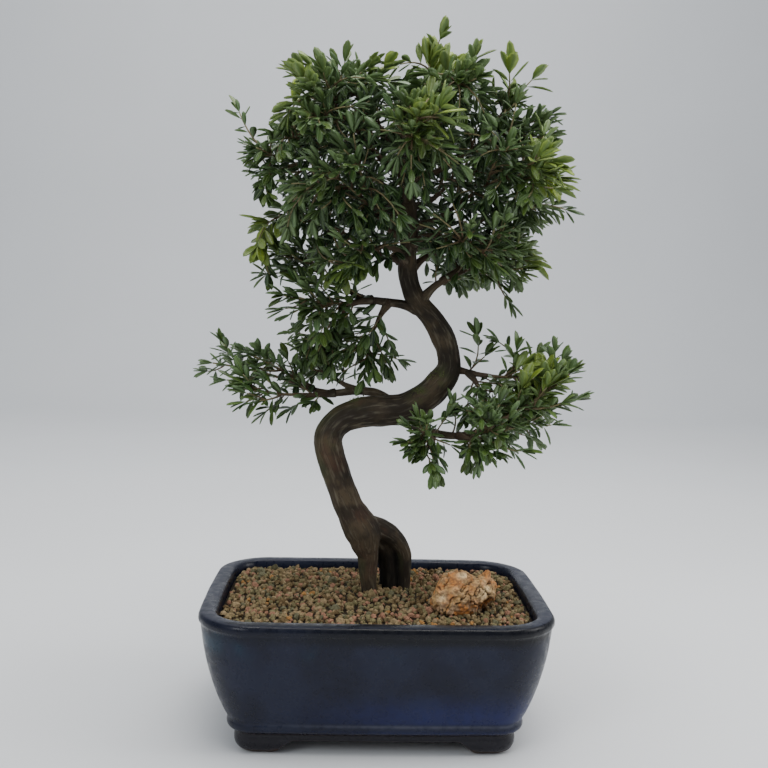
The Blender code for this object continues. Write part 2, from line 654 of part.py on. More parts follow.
def make_tree(parts, layout):
    """Trunk, roots and branches, grown as one piece."""
    group = new_collection("woody pieces")
    trunk = tube("trunk", smooth_path(TRUNK, TRUNK_STEP), TRUNK_LEVEL, parts)
    for number, stations in enumerate(ROOTS):
        tube(f"root_{number}", smooth_path(stations, TRUNK_STEP), ROOT_LEVEL, group)
    for name, (stations, _, _) in layout.items():
        tube(f"branch_of_{name}", smooth_path(stations, BRANCH_STEP), TWIG_LEVEL, group)
    return unite(trunk, group)


def bend(start, control, end, count, radii):
    """Rows along a quadratic arc from start to end, with the radius running between two values."""
    rows = []
    for t in np.linspace(0.0, 1.0, count):
        place = start * (1.0 - t) ** 2 + control * 2.0 * t * (1.0 - t) + end * t * t
        rows.append((*place, radii[0] + (radii[1] - radii[0]) * t))
    return np.array(rows)


def path_frame(path, place):
    """Point and direction at a share of a path's length."""
    at = place * (len(path) - 1)
    first = min(int(at), len(path) - 2)
    low, high = Vector(path[first][:3]), Vector(path[first + 1][:3])
    return low.lerp(high, at - first), (high - low).normalized()


def leaf_shape(root, way, face, length, width, curl, bare=0.0, grow=0.0):
    """Vertices and faces of a lance-shaped blade: two pointed ends, two cross lines and a keel below.

    The first bare metres of the blade can be left off, and the rest made larger all round.
    """
    side = way.cross(face).normalized()
    up = side.cross(way).normalized()
    near = bare / length
    vertices = [
        root + way * bare + up * (curl * length * near * near),
        root + way * (length + grow) + up * (curl * length),
    ]
    for along, share in LEAF_SECTIONS:
        middle = root + way * (along * length) + up * (curl * length * along * along)
        half = share * width / 2.0 + grow
        fold = up * (LEAF_FOLD * half)
        vertices += [middle + side * half + fold, middle - side * half + fold]
    along = LEAF_SECTIONS[0][0]
    keel = root + way * (along * length) + up * (curl * length * along * along)
    vertices.append(keel - up * (LEAF_THICK + grow))
    faces = [(0, 2, 3), (2, 4, 5, 3), (4, 1, 5), (0, 6, 2), (2, 6, 4), (4, 6, 1)]
    faces += [(0, 3, 6), (3, 5, 6), (5, 1, 6)]
    return vertices, faces


def tree_of(vertices, faces):
    """Search tree over triangles or polygons."""
    return BVHTree.FromPolygons([tuple(v) for v in vertices], faces)


def tree_of_object(item):
    """Search tree over an object's mesh."""
    return tree_of([v.co for v in item.data.vertices], [tuple(p.vertices) for p in item.data.polygons])


def grow_twigs(base, base_way, tip, random_source):
    """Main twig of a spray and its two side twigs, as rows of x, y, z and radius."""
    span = (tip - base).length
    radii = (TWIG_RADIUS * MM, MAIN_TWIG_TIP * MM)
    main = bend(base, base + base_way * span * MAIN_TWIG_BOW, tip, MAIN_TWIG_ROWS, radii)
    twigs = [main]
    spin = random_source.uniform(0.0, math.tau)
    for number, place in enumerate(SIDE_TWIG_STARTS):
        start, way = path_frame(main, place)
        across = way.orthogonal().normalized()
        turn = spin + number * math.pi + random_source.uniform(-TWIG_JITTER, TWIG_JITTER)
        across.rotate(Quaternion(way, turn))
        leaving = (way * SIDE_TWIG_LEAVES[0] + across * SIDE_TWIG_LEAVES[1]).normalized()
        heading = (way * SIDE_TWIG_HEADS[0] + across * SIDE_TWIG_HEADS[1]).normalized()
        reach = span * (SIDE_TWIG_REACH[0] - SIDE_TWIG_REACH[1] * number)
        radii = [radius * MM for radius in SIDE_TWIG_RADII]
        control = start + leaving * reach * SIDE_TWIG_BOW
        twigs.append(bend(start, control, start + heading * reach, SIDE_TWIG_ROWS, radii))
    return twigs


def leaf_places(twigs):
    """Where leaves sit: twig number, share of its length, angle from it, turn about it, size."""
    places = []
    for number in range(len(twigs)):
        places += [(number, *place) for place in [END_LEAF, *END_PAIR]]
    return places + MORE_LEAVES


def place_leaf(twigs, place, droop, random_source):
    """Draw one leaf of a spray: root, direction, facing, length, width and curl."""
    number, along, angle, turn, size = place
    root, way = path_frame(twigs[number], along)
    across = way.orthogonal().normalized()
    across.rotate(Quaternion(way, turn + random_source.uniform(-TURN_JITTER, TURN_JITTER)))
    lean = angle + random_source.uniform(-LEAN_JITTER, LEAN_JITTER)
    heading = way * math.cos(lean) + across * math.sin(lean)
    heading = (heading + Vector((0.0, 0.0, -droop))).normalized()
    root -= heading * LEAF_SUNK
    jitter = Vector([random_source.uniform(-FACE_JITTER, FACE_JITTER) for _ in range(3)])
    face = Vector((0.0, 0.0, 1.0)) + way * FACE_AHEAD + jitter
    if heading.cross(face).length < FACE_LEAST:
        face = way.orthogonal()
    length = size * random_source.uniform(*LEAF_LENGTH)
    width = length * LEAF_WIDTH * random_source.uniform(*WIDTH_RANGE)
    return root, heading, face, length, width, random_source.uniform(*CURL_RANGE)


def choose_twigs(layout, wood):
    """Twigs of every spray, drawn again until they are clear of the wood and of each other."""
    twigs_of = {}
    trees_of = {}
    for number, (name, (stations, tip, _)) in enumerate(layout.items()):
        path = smooth_path(stations, BRANCH_STEP)
        end, before = Vector(path[-1][:3]), Vector(path[-2][:3])
        way = (end - before).normalized()
        taken = [wood] + [tree for trees in trees_of.values() for tree in trees]
        for attempt in range(LEAF_TRIES):
            random_source = random.Random(SEED * TWIG_SEEDS + number * TWIG_SEED_STEP + attempt)
            twigs = grow_twigs(end + way * GAP, way, Vector(tip) * MM, random_source)
            draft = new_collection("draft")
            trees = [tree_of_object(tube("twig", twig, TWIG_LEVEL, draft)) for twig in twigs]
            remove_group(draft)
            if not any(mine.overlap(other) for mine in trees for other in taken):
                break
        twigs_of[name] = twigs
        trees_of[name] = trees
    return twigs_of, trees_of


def make_spray(name, twigs, droop, siblings, others, random_source, parts):
    """One leafy stem: its twigs and leaves joined, and the search trees of its leaves."""
    group = new_collection(f"pieces of {name}")
    stem = tube(name, twigs[0], TWIG_LEVEL, parts)
    for twig in twigs[1:]:
        tube("side_twig", twig, TWIG_LEVEL, group)
    blades = []
    for place in leaf_places(twigs):
        near = [tree for index, tree in enumerate(siblings) if index != place[0]]
        for _ in range(LEAF_TRIES):
            leaf = place_leaf(twigs, place, droop, random_source)
            wide = tree_of(*leaf_shape(*leaf, bare=LEAF_BARE, grow=LEAF_CLEARANCE))
            if not any(wide.overlap(other) for other in [*others, *near, *blades]):
                blades.append(tree_of(*leaf_shape(*leaf)))
                mesh_object("leaf", *leaf_shape(*leaf), group)
                break
    return unite(stem, group), blades


def make_sprays(parts, layout, tree):
    """Leafy stems, one on each branch, their leaves bent clear of each other and of the wood."""
    wood = tree_of_object(tree)
    twigs_of, trees_of = choose_twigs(layout, wood)
    blades = []
    for number, (name, (_, _, droop)) in enumerate(layout.items()):
        others = [tree for other, trees in trees_of.items() if other != name for tree in trees]
        for attempt in range(LEAF_TRIES):
            random_source = random.Random(SEED * LEAF_SEEDS + number + attempt * LEAF_SEED_STEP)
            spray, grown = make_spray(
                name, twigs_of[name], droop, trees_of[name], [wood, *others, *blades], random_source, parts
            )
            if is_sound(spray.data) or attempt == LEAF_TRIES - 1:
                break
            bpy.data.objects.remove(spray, do_unlink=True)
        blades += grown


def finish(item, material):
    """Give an object its material."""
    item.data.materials.clear()
    item.data.materials.append(material)


def main():
    """Build the bonsai."""
    clear_scene()
    parts = new_collection("compact myrtle bonsai")
    cutters = new_collection("cutters")
    glaze = new_material("blue glaze", GLAZE_BLUE, 0.28)
    earth = new_material("granular soil", SOIL_BROWN, 0.95)
    ochre = new_material("ochre stone", STONE_OCHRE, 0.8)
    bark = new_material("bark", BARK_BROWN, 0.85)
    leaf = new_material("myrtle leaf", LEAF_GREEN, 0.4)
    plastic = new_material("screen plastic", SCREEN_BLACK, 0.6)

    finish(make_pot(parts, cutters), glaze)
    for side, x in (("left", -DRAIN_X), ("right", DRAIN_X)):
        finish(make_screen(side, x, parts, cutters), plastic)
    soil = make_soil(parts, cutters)
    cut(soil, stone_shape("stone_pocket", STONE_GAP, cutters), "Stone pocket")
    finish(soil, earth)
    finish(stone_shape("accent_stone", 0.0, parts), ochre)
    layout = {**BRANCHES, **crown_layout()}
    tree = make_tree(parts, layout)
    make_sprays(parts, layout, tree)
    for item in parts.objects:
        if "spray" in item.name:
            finish(item, leaf)
    finish(tree, bark)


main()
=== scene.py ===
"""Looks of a compact myrtle bonsai: glazed pot, grainy soil, accent stone, bark, moss and leaves."""

import itertools
import logging
import math
import random
from dataclasses import dataclass, field
from enum import Enum
from typing import Any, Sequence

import bpy
import numpy as np
from mathutils import Matrix, Quaternion, Vector


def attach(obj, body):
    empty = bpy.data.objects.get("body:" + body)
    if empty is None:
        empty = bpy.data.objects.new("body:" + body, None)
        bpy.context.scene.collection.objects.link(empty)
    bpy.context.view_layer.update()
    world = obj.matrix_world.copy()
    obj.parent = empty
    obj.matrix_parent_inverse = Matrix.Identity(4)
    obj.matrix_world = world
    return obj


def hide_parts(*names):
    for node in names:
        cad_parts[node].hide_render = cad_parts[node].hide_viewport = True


LOG = logging.getLogger("bonsai")
Array = np.ndarray
Rows = Sequence[Sequence[float]]
Materials = Sequence[bpy.types.Material]
Pair = tuple[float, float]
Place = tuple[float, float, float]
Shape = tuple[Array, list[Array]]
Socket = bpy.types.NodeSocket
Colour = tuple[float, float, float]

MM = 0.001
ROOT_BODY = "root"
GOLDEN_ANGLE = math.pi * (3.0 - math.sqrt(5.0))
SEED = 11
PATH_SAMPLES = 12
HASH_PRIMES = (73856093, 19349663, 83492791)
HASH_SEED = 265443576
HASH_ROUNDS = ((13, 1274126177), (16, 668265263))

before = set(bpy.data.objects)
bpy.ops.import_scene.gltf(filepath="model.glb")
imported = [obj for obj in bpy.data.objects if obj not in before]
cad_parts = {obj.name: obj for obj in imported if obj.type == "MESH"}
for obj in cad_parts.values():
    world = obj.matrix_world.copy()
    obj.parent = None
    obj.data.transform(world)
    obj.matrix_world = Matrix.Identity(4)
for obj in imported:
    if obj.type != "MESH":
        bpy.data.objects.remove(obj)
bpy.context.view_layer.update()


class Slot(Enum):
    """Names of the material slots."""

    GLAZE = "blue_glaze"
    SOIL = "soil"
    STONE = "stone"
    BARK = "bark"
    FOLIAGE = "foliage"


# Numbers, paths and shapes


def unit(vectors: Array) -> Array:
    """Vectors scaled to length one."""
    return vectors / np.maximum(np.linalg.norm(vectors, axis=-1, keepdims=True), 1e-12)


def smoothstep(low: float, high: float, values: Array) -> Array:
    """Rise from 0 at low to 1 at high with level ends."""
    share = np.clip((values - low) / (high - low), 0.0, 1.0)
    return share * share * (3.0 - 2.0 * share)


def clamped(value: float) -> float:
    """A number kept between 0 and 1."""
    return min(1.0, max(0.0, value))


def bell(values: Array, centre: float, width: float) -> Array:
    """Bell-shaped closeness to a centre: 1 there, falling by the square of the distance in widths."""
    return np.exp(-(((values - centre) / width) ** 2))


def spot_field(points: Array, spots: Rows) -> Array:
    """Closeness to the nearest spot.

    Args:
        points: Places in metres.
        spots: Centre and size of each spot, in mm.

    Returns:
        The largest bell-shaped value at each point, 1 at a spot's centre.
    """
    rows = np.array(spots) * MM
    distance = np.linalg.norm(points[:, None] - rows[None, :, :3], axis=2) / rows[None, :, 3]
    return np.exp(-(distance**2)).max(axis=1)


def hashed(cells: Array, seed: int) -> Array:
    """Repeatable value for each lattice corner.

    The three whole numbers of a corner are multiplied by large primes and their bits are mixed.

    Args:
        cells: Whole-number corners, one row each.
        seed: Number that picks another set of values.

    Returns:
        Values from -1 to 1.
    """
    mixed = np.bitwise_xor.reduce(cells * HASH_PRIMES, axis=1) ^ (seed * HASH_SEED)
    for shift, prime in HASH_ROUNDS:
        mixed = (mixed ^ (mixed >> shift)) * prime & 0xFFFFFFFF
    return ((mixed >> 7) & 0xFFFF) / 32767.5 - 1.0


def lattice_noise(points: Array, cell: float, seed: int) -> Array:
    """Smooth random value at each point.

    A point blends the hashed values of the eight corners of its cell by a smoothstep of its place
    in the cell.

    Args:
        points: Places, one row each.
        cell: Width of a lattice cell, in the units of the points.
        seed: Number that picks another pattern.

    Returns:
        Values from -1 to 1.
    """
    scaled = points / cell
    base = np.floor(scaled).astype(np.int64)
    part = scaled - base
    ease = part * part * (3.0 - 2.0 * part)
    total = np.zeros(len(points))
    for corner in itertools.product((0, 1), repeat=3):
        offset = np.array(corner)
        total += np.prod(np.where(offset == 1, ease, 1.0 - ease), axis=1) * hashed(base + offset, seed)
    return total


def layered_noise(points: Array, cell: float, seed: int, layers: int = 3) -> Array:
    """Sum of lattice noises, each layer half the size and half the height of the last.

    Args:
        points: Places, one row each.
        cell: Cell width of the widest layer.
        seed: Number that picks another pattern.
        layers: How many layers are summed.

    Returns:
        Values from about -1 to 1.
    """
    total = sum(lattice_noise(points, cell / 2**layer, seed + layer) / 2**layer for layer in range(layers))
    return total / sum(0.5**layer for layer in range(layers))


def smooth_path(stations: Rows, step: float) -> Array:
    """Even points along a Catmull-Rom curve.

    Each stretch is a cubic through two stations, its end slopes half the way between the stations
    either side; the dense points are then spaced evenly by the length travelled.

    Args:
        stations: Rows of x, y, z and radius in mm.
        step: Distance between points, in metres.

    Returns:
        Rows of x, y, z and radius in metres.
    """
    rows = np.array(stations, dtype=float) * MM
    rows = np.vstack([2.0 * rows[0] - rows[1], rows, 2.0 * rows[-1] - rows[-2]])
    t = np.linspace(0.0, 1.0, PATH_SAMPLES, endpoint=False)[None, :, None]
    before, start, end, after = (rows[k : len(rows) - 3 + k, None, :] for k in range(4))
    dense = 0.5 * (
        2.0 * start
        + (end - before) * t
        + (2.0 * before - 5.0 * start + 4.0 * end - after) * t**2
        + (3.0 * start - before - 3.0 * end + after) * t**3
    )
    dense = np.vstack([dense.reshape(-1, 4), rows[-2]])
    travelled = np.concatenate([[0.0], np.cumsum(np.linalg.norm(np.diff(dense[:, :3], axis=0), axis=1))])
    count = max(2, int(round(travelled[-1] / step)) + 1)
    places = np.linspace(0.0, travelled[-1], count)
    return np.stack([np.interp(places, travelled, dense[:, k]) for k in range(4)], axis=1)


def arc_path(start: Vector, control: Vector, end: Vector, count: int, radii: Pair) -> Array:
    """Rows along a quadratic arc.

    A point is the blend of start, control and end with the weights (1-t)^2, 2t(1-t) and t^2.

    Args:
        start: First point, in metres.
        control: Point that the arc bends toward.
        end: Last point.
        count: Number of rows.
        radii: Radius at the start and at the end, in mm.

    Returns:
        Rows of x, y, z and radius in metres.
    """
    t = np.linspace(0.0, 1.0, count)[:, None]
    places = np.array(start) * (1 - t) ** 2 + np.array(control) * 2 * t * (1 - t) + np.array(end) * t**2
    first, last = radii[0] * MM, radii[1] * MM
    return np.hstack([places, first + (last - first) * t])


def path_frame(path: Array, place: float) -> tuple[Vector, Vector]:
    """Point and direction at a share of a path's length.

    Args:
        path: Rows of x, y, z and radius.
        place: Share from 0 to 1.

    Returns:
        The point and the unit direction of the path there.
    """
    at = place * (len(path) - 1)
    first = min(int(at), len(path) - 2)
    low, high = Vector(path[first][:3]), Vector(path[first + 1][:3])
    return low.lerp(high, at - first), (high - low).normalized()


def path_axes(path: Array) -> tuple[Array, Array, Array]:
    """Directions that go with each row of a path.

    The side is the path's direction crossed with the world axis that the path runs along least,
    so it never flips.

    Args:
        path: Rows of x, y, z and radius.

    Returns:
        Way along the path, side and up, one unit row each.
    """
    ways = unit(np.gradient(path[:, :3], axis=0))
    axis = np.eye(3)[np.argmin(np.abs(ways).max(axis=0))]
    side = unit(np.cross(axis, ways))
    return ways, side, np.cross(ways, side)


def ring_quads(grid: Array) -> Array:
    """Quads between closed rings, given the numbers of their points as rings by points."""
    turned = np.roll(grid, -1, axis=1)
    return np.stack([grid[:-1], turned[:-1], turned[1:], grid[1:]], axis=-1).reshape(-1, 4)


def end_fans(grid: Array) -> Array:
    """Triangles that close the first and last ring on two end points, numbered after the rings."""
    turned = np.roll(grid, -1, axis=1)
    first = np.stack([np.full(grid.shape[1], grid.size), turned[0], grid[0]], axis=-1)
    last = np.stack([np.full(grid.shape[1], grid.size + 1), grid[-1], turned[-1]], axis=-1)
    return np.vstack([first, last])


def sweep(path: Array, sides: int) -> Shape:
    """Closed tube along a path.

    Point = centre + radius * (cos(turn) * side + sin(turn) * up), with a fan of triangles at each end.

    Args:
        path: Rows of x, y, z and radius in metres.
        sides: Points round the tube.

    Returns:
        Points, and faces in groups of one size.
    """
    centres, radii = path[:, :3], path[:, 3]
    _, side, up = path_axes(path)
    turn = np.linspace(0.0, math.tau, sides, endpoint=False)[None, :, None]
    ring = np.cos(turn) * side[:, None] + np.sin(turn) * up[:, None]
    points = (centres[:, None] + ring * radii[:, None, None]).reshape(-1, 3)
    grid = np.arange(len(points)).reshape(len(path), sides)
    return np.vstack([points, centres[:1], centres[-1:]]), [ring_quads(grid), end_fans(grid)]


def rounded_rings(rows: Array, corner_steps: int, side_steps: int, bow: float) -> Array:
    """Rounded rectangles with gently bowed sides, counter-clockwise.

    Each corner is a quarter circle of the row's radius; the straight runs join them; every point
    is then moved outward by bow * (1 - share^2), where share is how far along its side it is.

    Args:
        rows: Half length, half depth, corner radius and height of each ring, in metres.
        corner_steps: Steps along a corner.
        side_steps: Points on a side between two corners.
        bow: Bulge of a side as a share of the half size.

    Returns:
        Points, as rings by points by three.
    """
    half, radius = rows[:, :2] / (1.0 + bow), rows[:, 2]
    signs = np.array([(1, 1), (-1, 1), (-1, -1), (1, -1)])
    centres = signs[None] * (half - radius[:, None])[:, None, :]
    angles = math.pi / 2.0 * (np.arange(4)[:, None] + np.linspace(0.0, 1.0, corner_steps + 1)[None])
    circle = np.stack([np.cos(angles), np.sin(angles)], axis=-1)
    arcs = centres[:, :, None, :] + radius[:, None, None, None] * circle[None]
    share = (np.arange(1, side_steps + 1) / (side_steps + 1))[:, None]
    following = np.roll(arcs[:, :, 0], -1, axis=1)[:, :, None]
    sides = arcs[:, :, -1:, :] * (1.0 - share) + following * share
    flat = np.concatenate([arcs, sides], axis=2).reshape(len(rows), -1, 2)
    flat = flat * (1.0 + bow * (1.0 - (flat[..., ::-1] / half[:, None, ::-1]) ** 2))
    height = np.broadcast_to(rows[:, 3][:, None, None], (*flat.shape[:2], 1))
    return np.concatenate([flat, height], axis=2)


def skin(rings: Array) -> Shape:
    """Quads between rings of equal length, with a flat face at each end.

    Args:
        rings: Rings by points by three.

    Returns:
        Points, and faces in groups of one size.
    """
    grid = np.arange(rings.shape[0] * rings.shape[1]).reshape(rings.shape[:2])
    return rings.reshape(-1, 3), [ring_quads(grid), grid[:1, ::-1], grid[-1:]]


# Meshes and objects


def build_object(name: str, points: Array, faces: list[Array], smooth: bool = True) -> bpy.types.Object:
    """Make a mesh object from whole arrays.

    Args:
        name: Name of the piece.
        points: Places, one row each.
        faces: Groups of faces, each group with one number of corners.
        smooth: Whether the faces shade smooth.

    Returns:
        The object, linked to the scene.
    """
    mesh = bpy.data.meshes.new(name)
    sizes = np.concatenate([np.full(len(group), group.shape[1]) for group in faces])
    corners = np.concatenate([group.ravel() for group in faces])
    mesh.vertices.add(len(points))
    mesh.vertices.foreach_set("co", points.astype(np.float32).ravel())
    mesh.loops.add(len(corners))
    mesh.loops.foreach_set("vertex_index", corners.astype(np.int32))
    mesh.polygons.add(len(sizes))
    mesh.polygons.foreach_set("loop_start", np.concatenate([[0], np.cumsum(sizes)[:-1]]).astype(np.int32))
    mesh.update(calc_edges=True)
    mesh.validate()
    mesh.polygons.foreach_set("use_smooth", np.full(len(mesh.polygons), smooth))
    item = bpy.data.objects.new(name, mesh)
    bpy.context.scene.collection.objects.link(item)
    return item


def joined(shapes: Sequence[Shape]) -> Shape:
    """Several shapes as one set of points and faces.

    Args:
        shapes: Points and face groups of each shape.

    Returns:
        All the points, and the face groups with their numbers moved on.
    """
    starts = np.concatenate([[0], np.cumsum([len(points) for points, _ in shapes])[:-1]]).astype(int)
    faces = [group + start for (_, groups), start in zip(shapes, starts) for group in groups]
    return np.vstack([points for points, _ in shapes]), faces


def copies(faces: Array, count: int, points: int) -> Array:
    """Faces of a template repeated for a number of copies of its points."""
    return (faces[None] + (np.arange(count) * points)[:, None, None]).reshape(-1, faces.shape[1])


def apply_modifiers(item: bpy.types.Object) -> None:
    """Replace an object's mesh by the mesh that its modifiers give."""
    bpy.context.view_layer.update()
    depsgraph = bpy.context.evaluated_depsgraph_get()
    mesh = bpy.data.meshes.new_from_object(item.evaluated_get(depsgraph))
    item.modifiers.clear()
    item.data = mesh


def read_vertices(mesh: bpy.types.Mesh, what: str = "co") -> Array:
    """Places or normals of a mesh's vertices.

    Args:
        mesh: The mesh.
        what: "co" for places, "normal" for normals.

    Returns:
        One row for each vertex.
    """
    values = np.empty(len(mesh.vertices) * 3, np.float32)
    mesh.vertices.foreach_get(what, values)
    return values.reshape(-1, 3).astype(float)


def write_places(mesh: bpy.types.Mesh, points: Array) -> None:
    """Move a mesh's vertices."""
    mesh.vertices.foreach_set("co", points.astype(np.float32).ravel())
    mesh.update()


def set_attribute(mesh: bpy.types.Mesh, name: str, values: Array) -> None:
    """Store a number or a vector on every vertex.

    Args:
        mesh: The mesh.
        name: Name that the material reads.
        values: One number or one row of three for each vertex.
    """
    vector = values.ndim == 2
    kind = "FLOAT_VECTOR" if vector else "FLOAT"
    mesh.attributes.new(name, kind, "POINT").data.foreach_set("vector" if vector else "value", values.ravel())


def soften(item: bpy.types.Object, rounds: int) -> None:
    """Add a smoothing modifier that runs a number of times."""
    item.modifiers.new("Soften", "SMOOTH").iterations = rounds


def cut(target: bpy.types.Object, cutter: bpy.types.Object) -> None:
    """Subtract a cutter from the target and remove the cutter."""
    boolean = target.modifiers.new("Cut", "BOOLEAN")
    boolean.operation = "DIFFERENCE"
    boolean.solver = "EXACT"
    boolean.object = cutter
    apply_modifiers(target)
    bpy.data.objects.remove(cutter, do_unlink=True)


def dress(item: bpy.types.Object, slot: Slot, materials: Materials, *replaced: str) -> None:
    """Give a piece its materials and its body, and hide the CAD nodes that it stands for.

    Args:
        item: The piece.
        slot: Not used.
        materials: Materials in slot order.
        *replaced: Names of the CAD nodes that the piece stands for.
    """
    item.data.materials.clear()
    for material in materials:
        item.data.materials.append(material)
    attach(item, ROOT_BODY)
    if replaced:
        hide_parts(*replaced)
    LOG.info("%s: %d faces", item.name, len(item.data.polygons))


# Shader trees and shared effects


class Graph:
    """Adds and links the nodes of one shader tree."""

    def __init__(self, tree: bpy.types.NodeTree) -> None:
        """Keep the tree."""
        self.tree = tree

    def add(self, kind: str, inputs: dict[Any, Any] | None = None, **settings: Any) -> bpy.types.Node:
        """Add a node, with its settings, values and links.

        Args:
            kind: Type name of the node.
            inputs: Value or source socket for each input, by name or number.
            **settings: Properties of the node.

        Returns:
            The node.
        """
        node = self.tree.nodes.new(kind)
        for key, value in settings.items():
            setattr(node, key, value)
        for key, value in (inputs or {}).items():
            if isinstance(value, Socket):
                self.tree.links.new(value, node.inputs[key])
            else:
                node.inputs[key].default_value = value
        return node

    def mix(self, share: Any, first: Any, second: Any) -> Socket:
        """Blend two colours.

        Args:
            share: Factor, as a number or a socket.
            first: Colour at factor 0, as three numbers or a socket.
            second: Colour at factor 1.

        Returns:
            The colour socket.
        """
        first, second = (c if isinstance(c, Socket) else (*c, 1.0) for c in (first, second))
        return self.add("ShaderNodeMix", {0: share, 6: first, 7: second}, data_type="RGBA").outputs[2]

    def layers(self, colour: Any, *coats: tuple[Any, Colour]) -> Socket:
        """Blend colours over a first one, in order.

        Args:
            colour: Socket of the first colour.
            *coats: Share and colour of each coat.

        Returns:
            The colour socket.
        """
        for share, coat in coats:
            colour = self.mix(share, colour, coat)
        return colour

    def math(self, operation: str, first: Any, second: Any = 0.0) -> Socket:
        """Work out one number from two.

        Args:
            operation: Name of the operation.
            first: First number or socket.
            second: Second number or socket.

        Returns:
            The number socket.
        """
        return self.add("ShaderNodeMath", {0: first, 1: second}, operation=operation).outputs[0]

    def remap(self, value: Any, low: Any, high: Any, start: float = 0.0, end: float = 1.0) -> Any:
        """Map a range of a value onto another, with level ends.

        Args:
            value: Source socket.
            low: Value that gives start.
            high: Value that gives end.
            start: Result at low.
            end: Result at high.

        Returns:
            The number socket.
        """
        inputs = {"Value": value, "From Min": low, "From Max": high, "To Min": start, "To Max": end}
        return self.add("ShaderNodeMapRange", inputs, interpolation_type="SMOOTHSTEP").outputs[0]

    def ramp(self, value: Any, stops: Sequence[tuple[float, Colour]], steps: bool = False) -> Any:
        """Colour from a scale of stops.

        Args:
            value: Source socket.
            stops: Place and colour of each stop.
            steps: Whether the colour jumps from stop to stop.

        Returns:
            The colour socket.
        """
        node = self.add("ShaderNodeValToRGB", {"Fac": value})
        ramp = node.color_ramp
        ramp.interpolation = "CONSTANT" if steps else "LINEAR"
        while len(ramp.elements) < len(stops):
            ramp.elements.new(1.0)
        for element, (place, colour) in zip(ramp.elements, stops):
            element.position = place
            element.color = (*colour, 1.0)
        return node.outputs[0]

    def product(self, first: Any, second: Any) -> Socket:
        """Multiply two numbers."""
        return self.math("MULTIPLY", first, second)

    def attribute(self, name: str, output: str = "Fac") -> Socket:
        """Read a vertex attribute of the piece, as a number or as a Vector."""
        return self.add("ShaderNodeAttribute", attribute_name=name).outputs[output]

    def noise(self, **inputs: Any) -> Socket:
        """Noise texture with the named inputs, as a number."""
        return self.add("ShaderNodeTexNoise", inputs).outputs[0]

    def parts(self, vector: Any) -> Sequence[Socket]:
        """The three numbers of a vector."""
        return self.add("ShaderNodeSeparateXYZ", {0: vector}).outputs

    def place(self) -> Socket:
        """Object coordinates, in metres."""
        return self.add("ShaderNodeTexCoord").outputs["Object"]

    def group(self, name: str, vector: Any, **values: float) -> Sequence[Socket]:
        """Place a shared node group with its own values.

        Args:
            name: Name of the group.
            vector: Socket of the coordinates that it reads.
            **values: Value of each of its other inputs.

        Returns:
            Its output sockets.
        """
        tree = bpy.data.node_groups[name]
        return self.add("ShaderNodeGroup", {0: vector, **values}, node_tree=tree).outputs

    def bump(self, height: Any, strength: float, distance: float) -> Socket:
        """Normal of a relief, from its height, its strength and its depth in metres."""
        inputs = {"Height": height, "Strength": strength, "Distance": distance}
        return self.add("ShaderNodeBump", inputs).outputs[0]

    def finish(self, node: bpy.types.Node, sockets: dict[str, Socket]) -> None:
        """Link a socket to each named input of a node."""
        for name, socket in sockets.items():
            self.tree.links.new(socket, node.inputs[name])


def new_group(
    name: str, inputs: dict[str, tuple[str, Any]], outputs: dict[str, str]
) -> tuple[Graph, Sequence[Socket], bpy.types.Node]:
    """Start a shader node group.

    Args:
        name: Name of the group.
        inputs: Socket type and default value of each input.
        outputs: Socket type of each output.

    Returns:
        The graph, the sockets of the inputs and the node that takes the outputs.
    """
    tree = bpy.data.node_groups.new(name, "ShaderNodeTree")
    for label, (kind, value) in inputs.items():
        socket = tree.interface.new_socket(label, in_out="INPUT", socket_type=kind)
        if value is not None:
            socket.default_value = value
    for label, kind in outputs.items():
        tree.interface.new_socket(label, in_out="OUTPUT", socket_type=kind)
    graph = Graph(tree)
    return graph, graph.add("NodeGroupInput").outputs, graph.add("NodeGroupOutput")


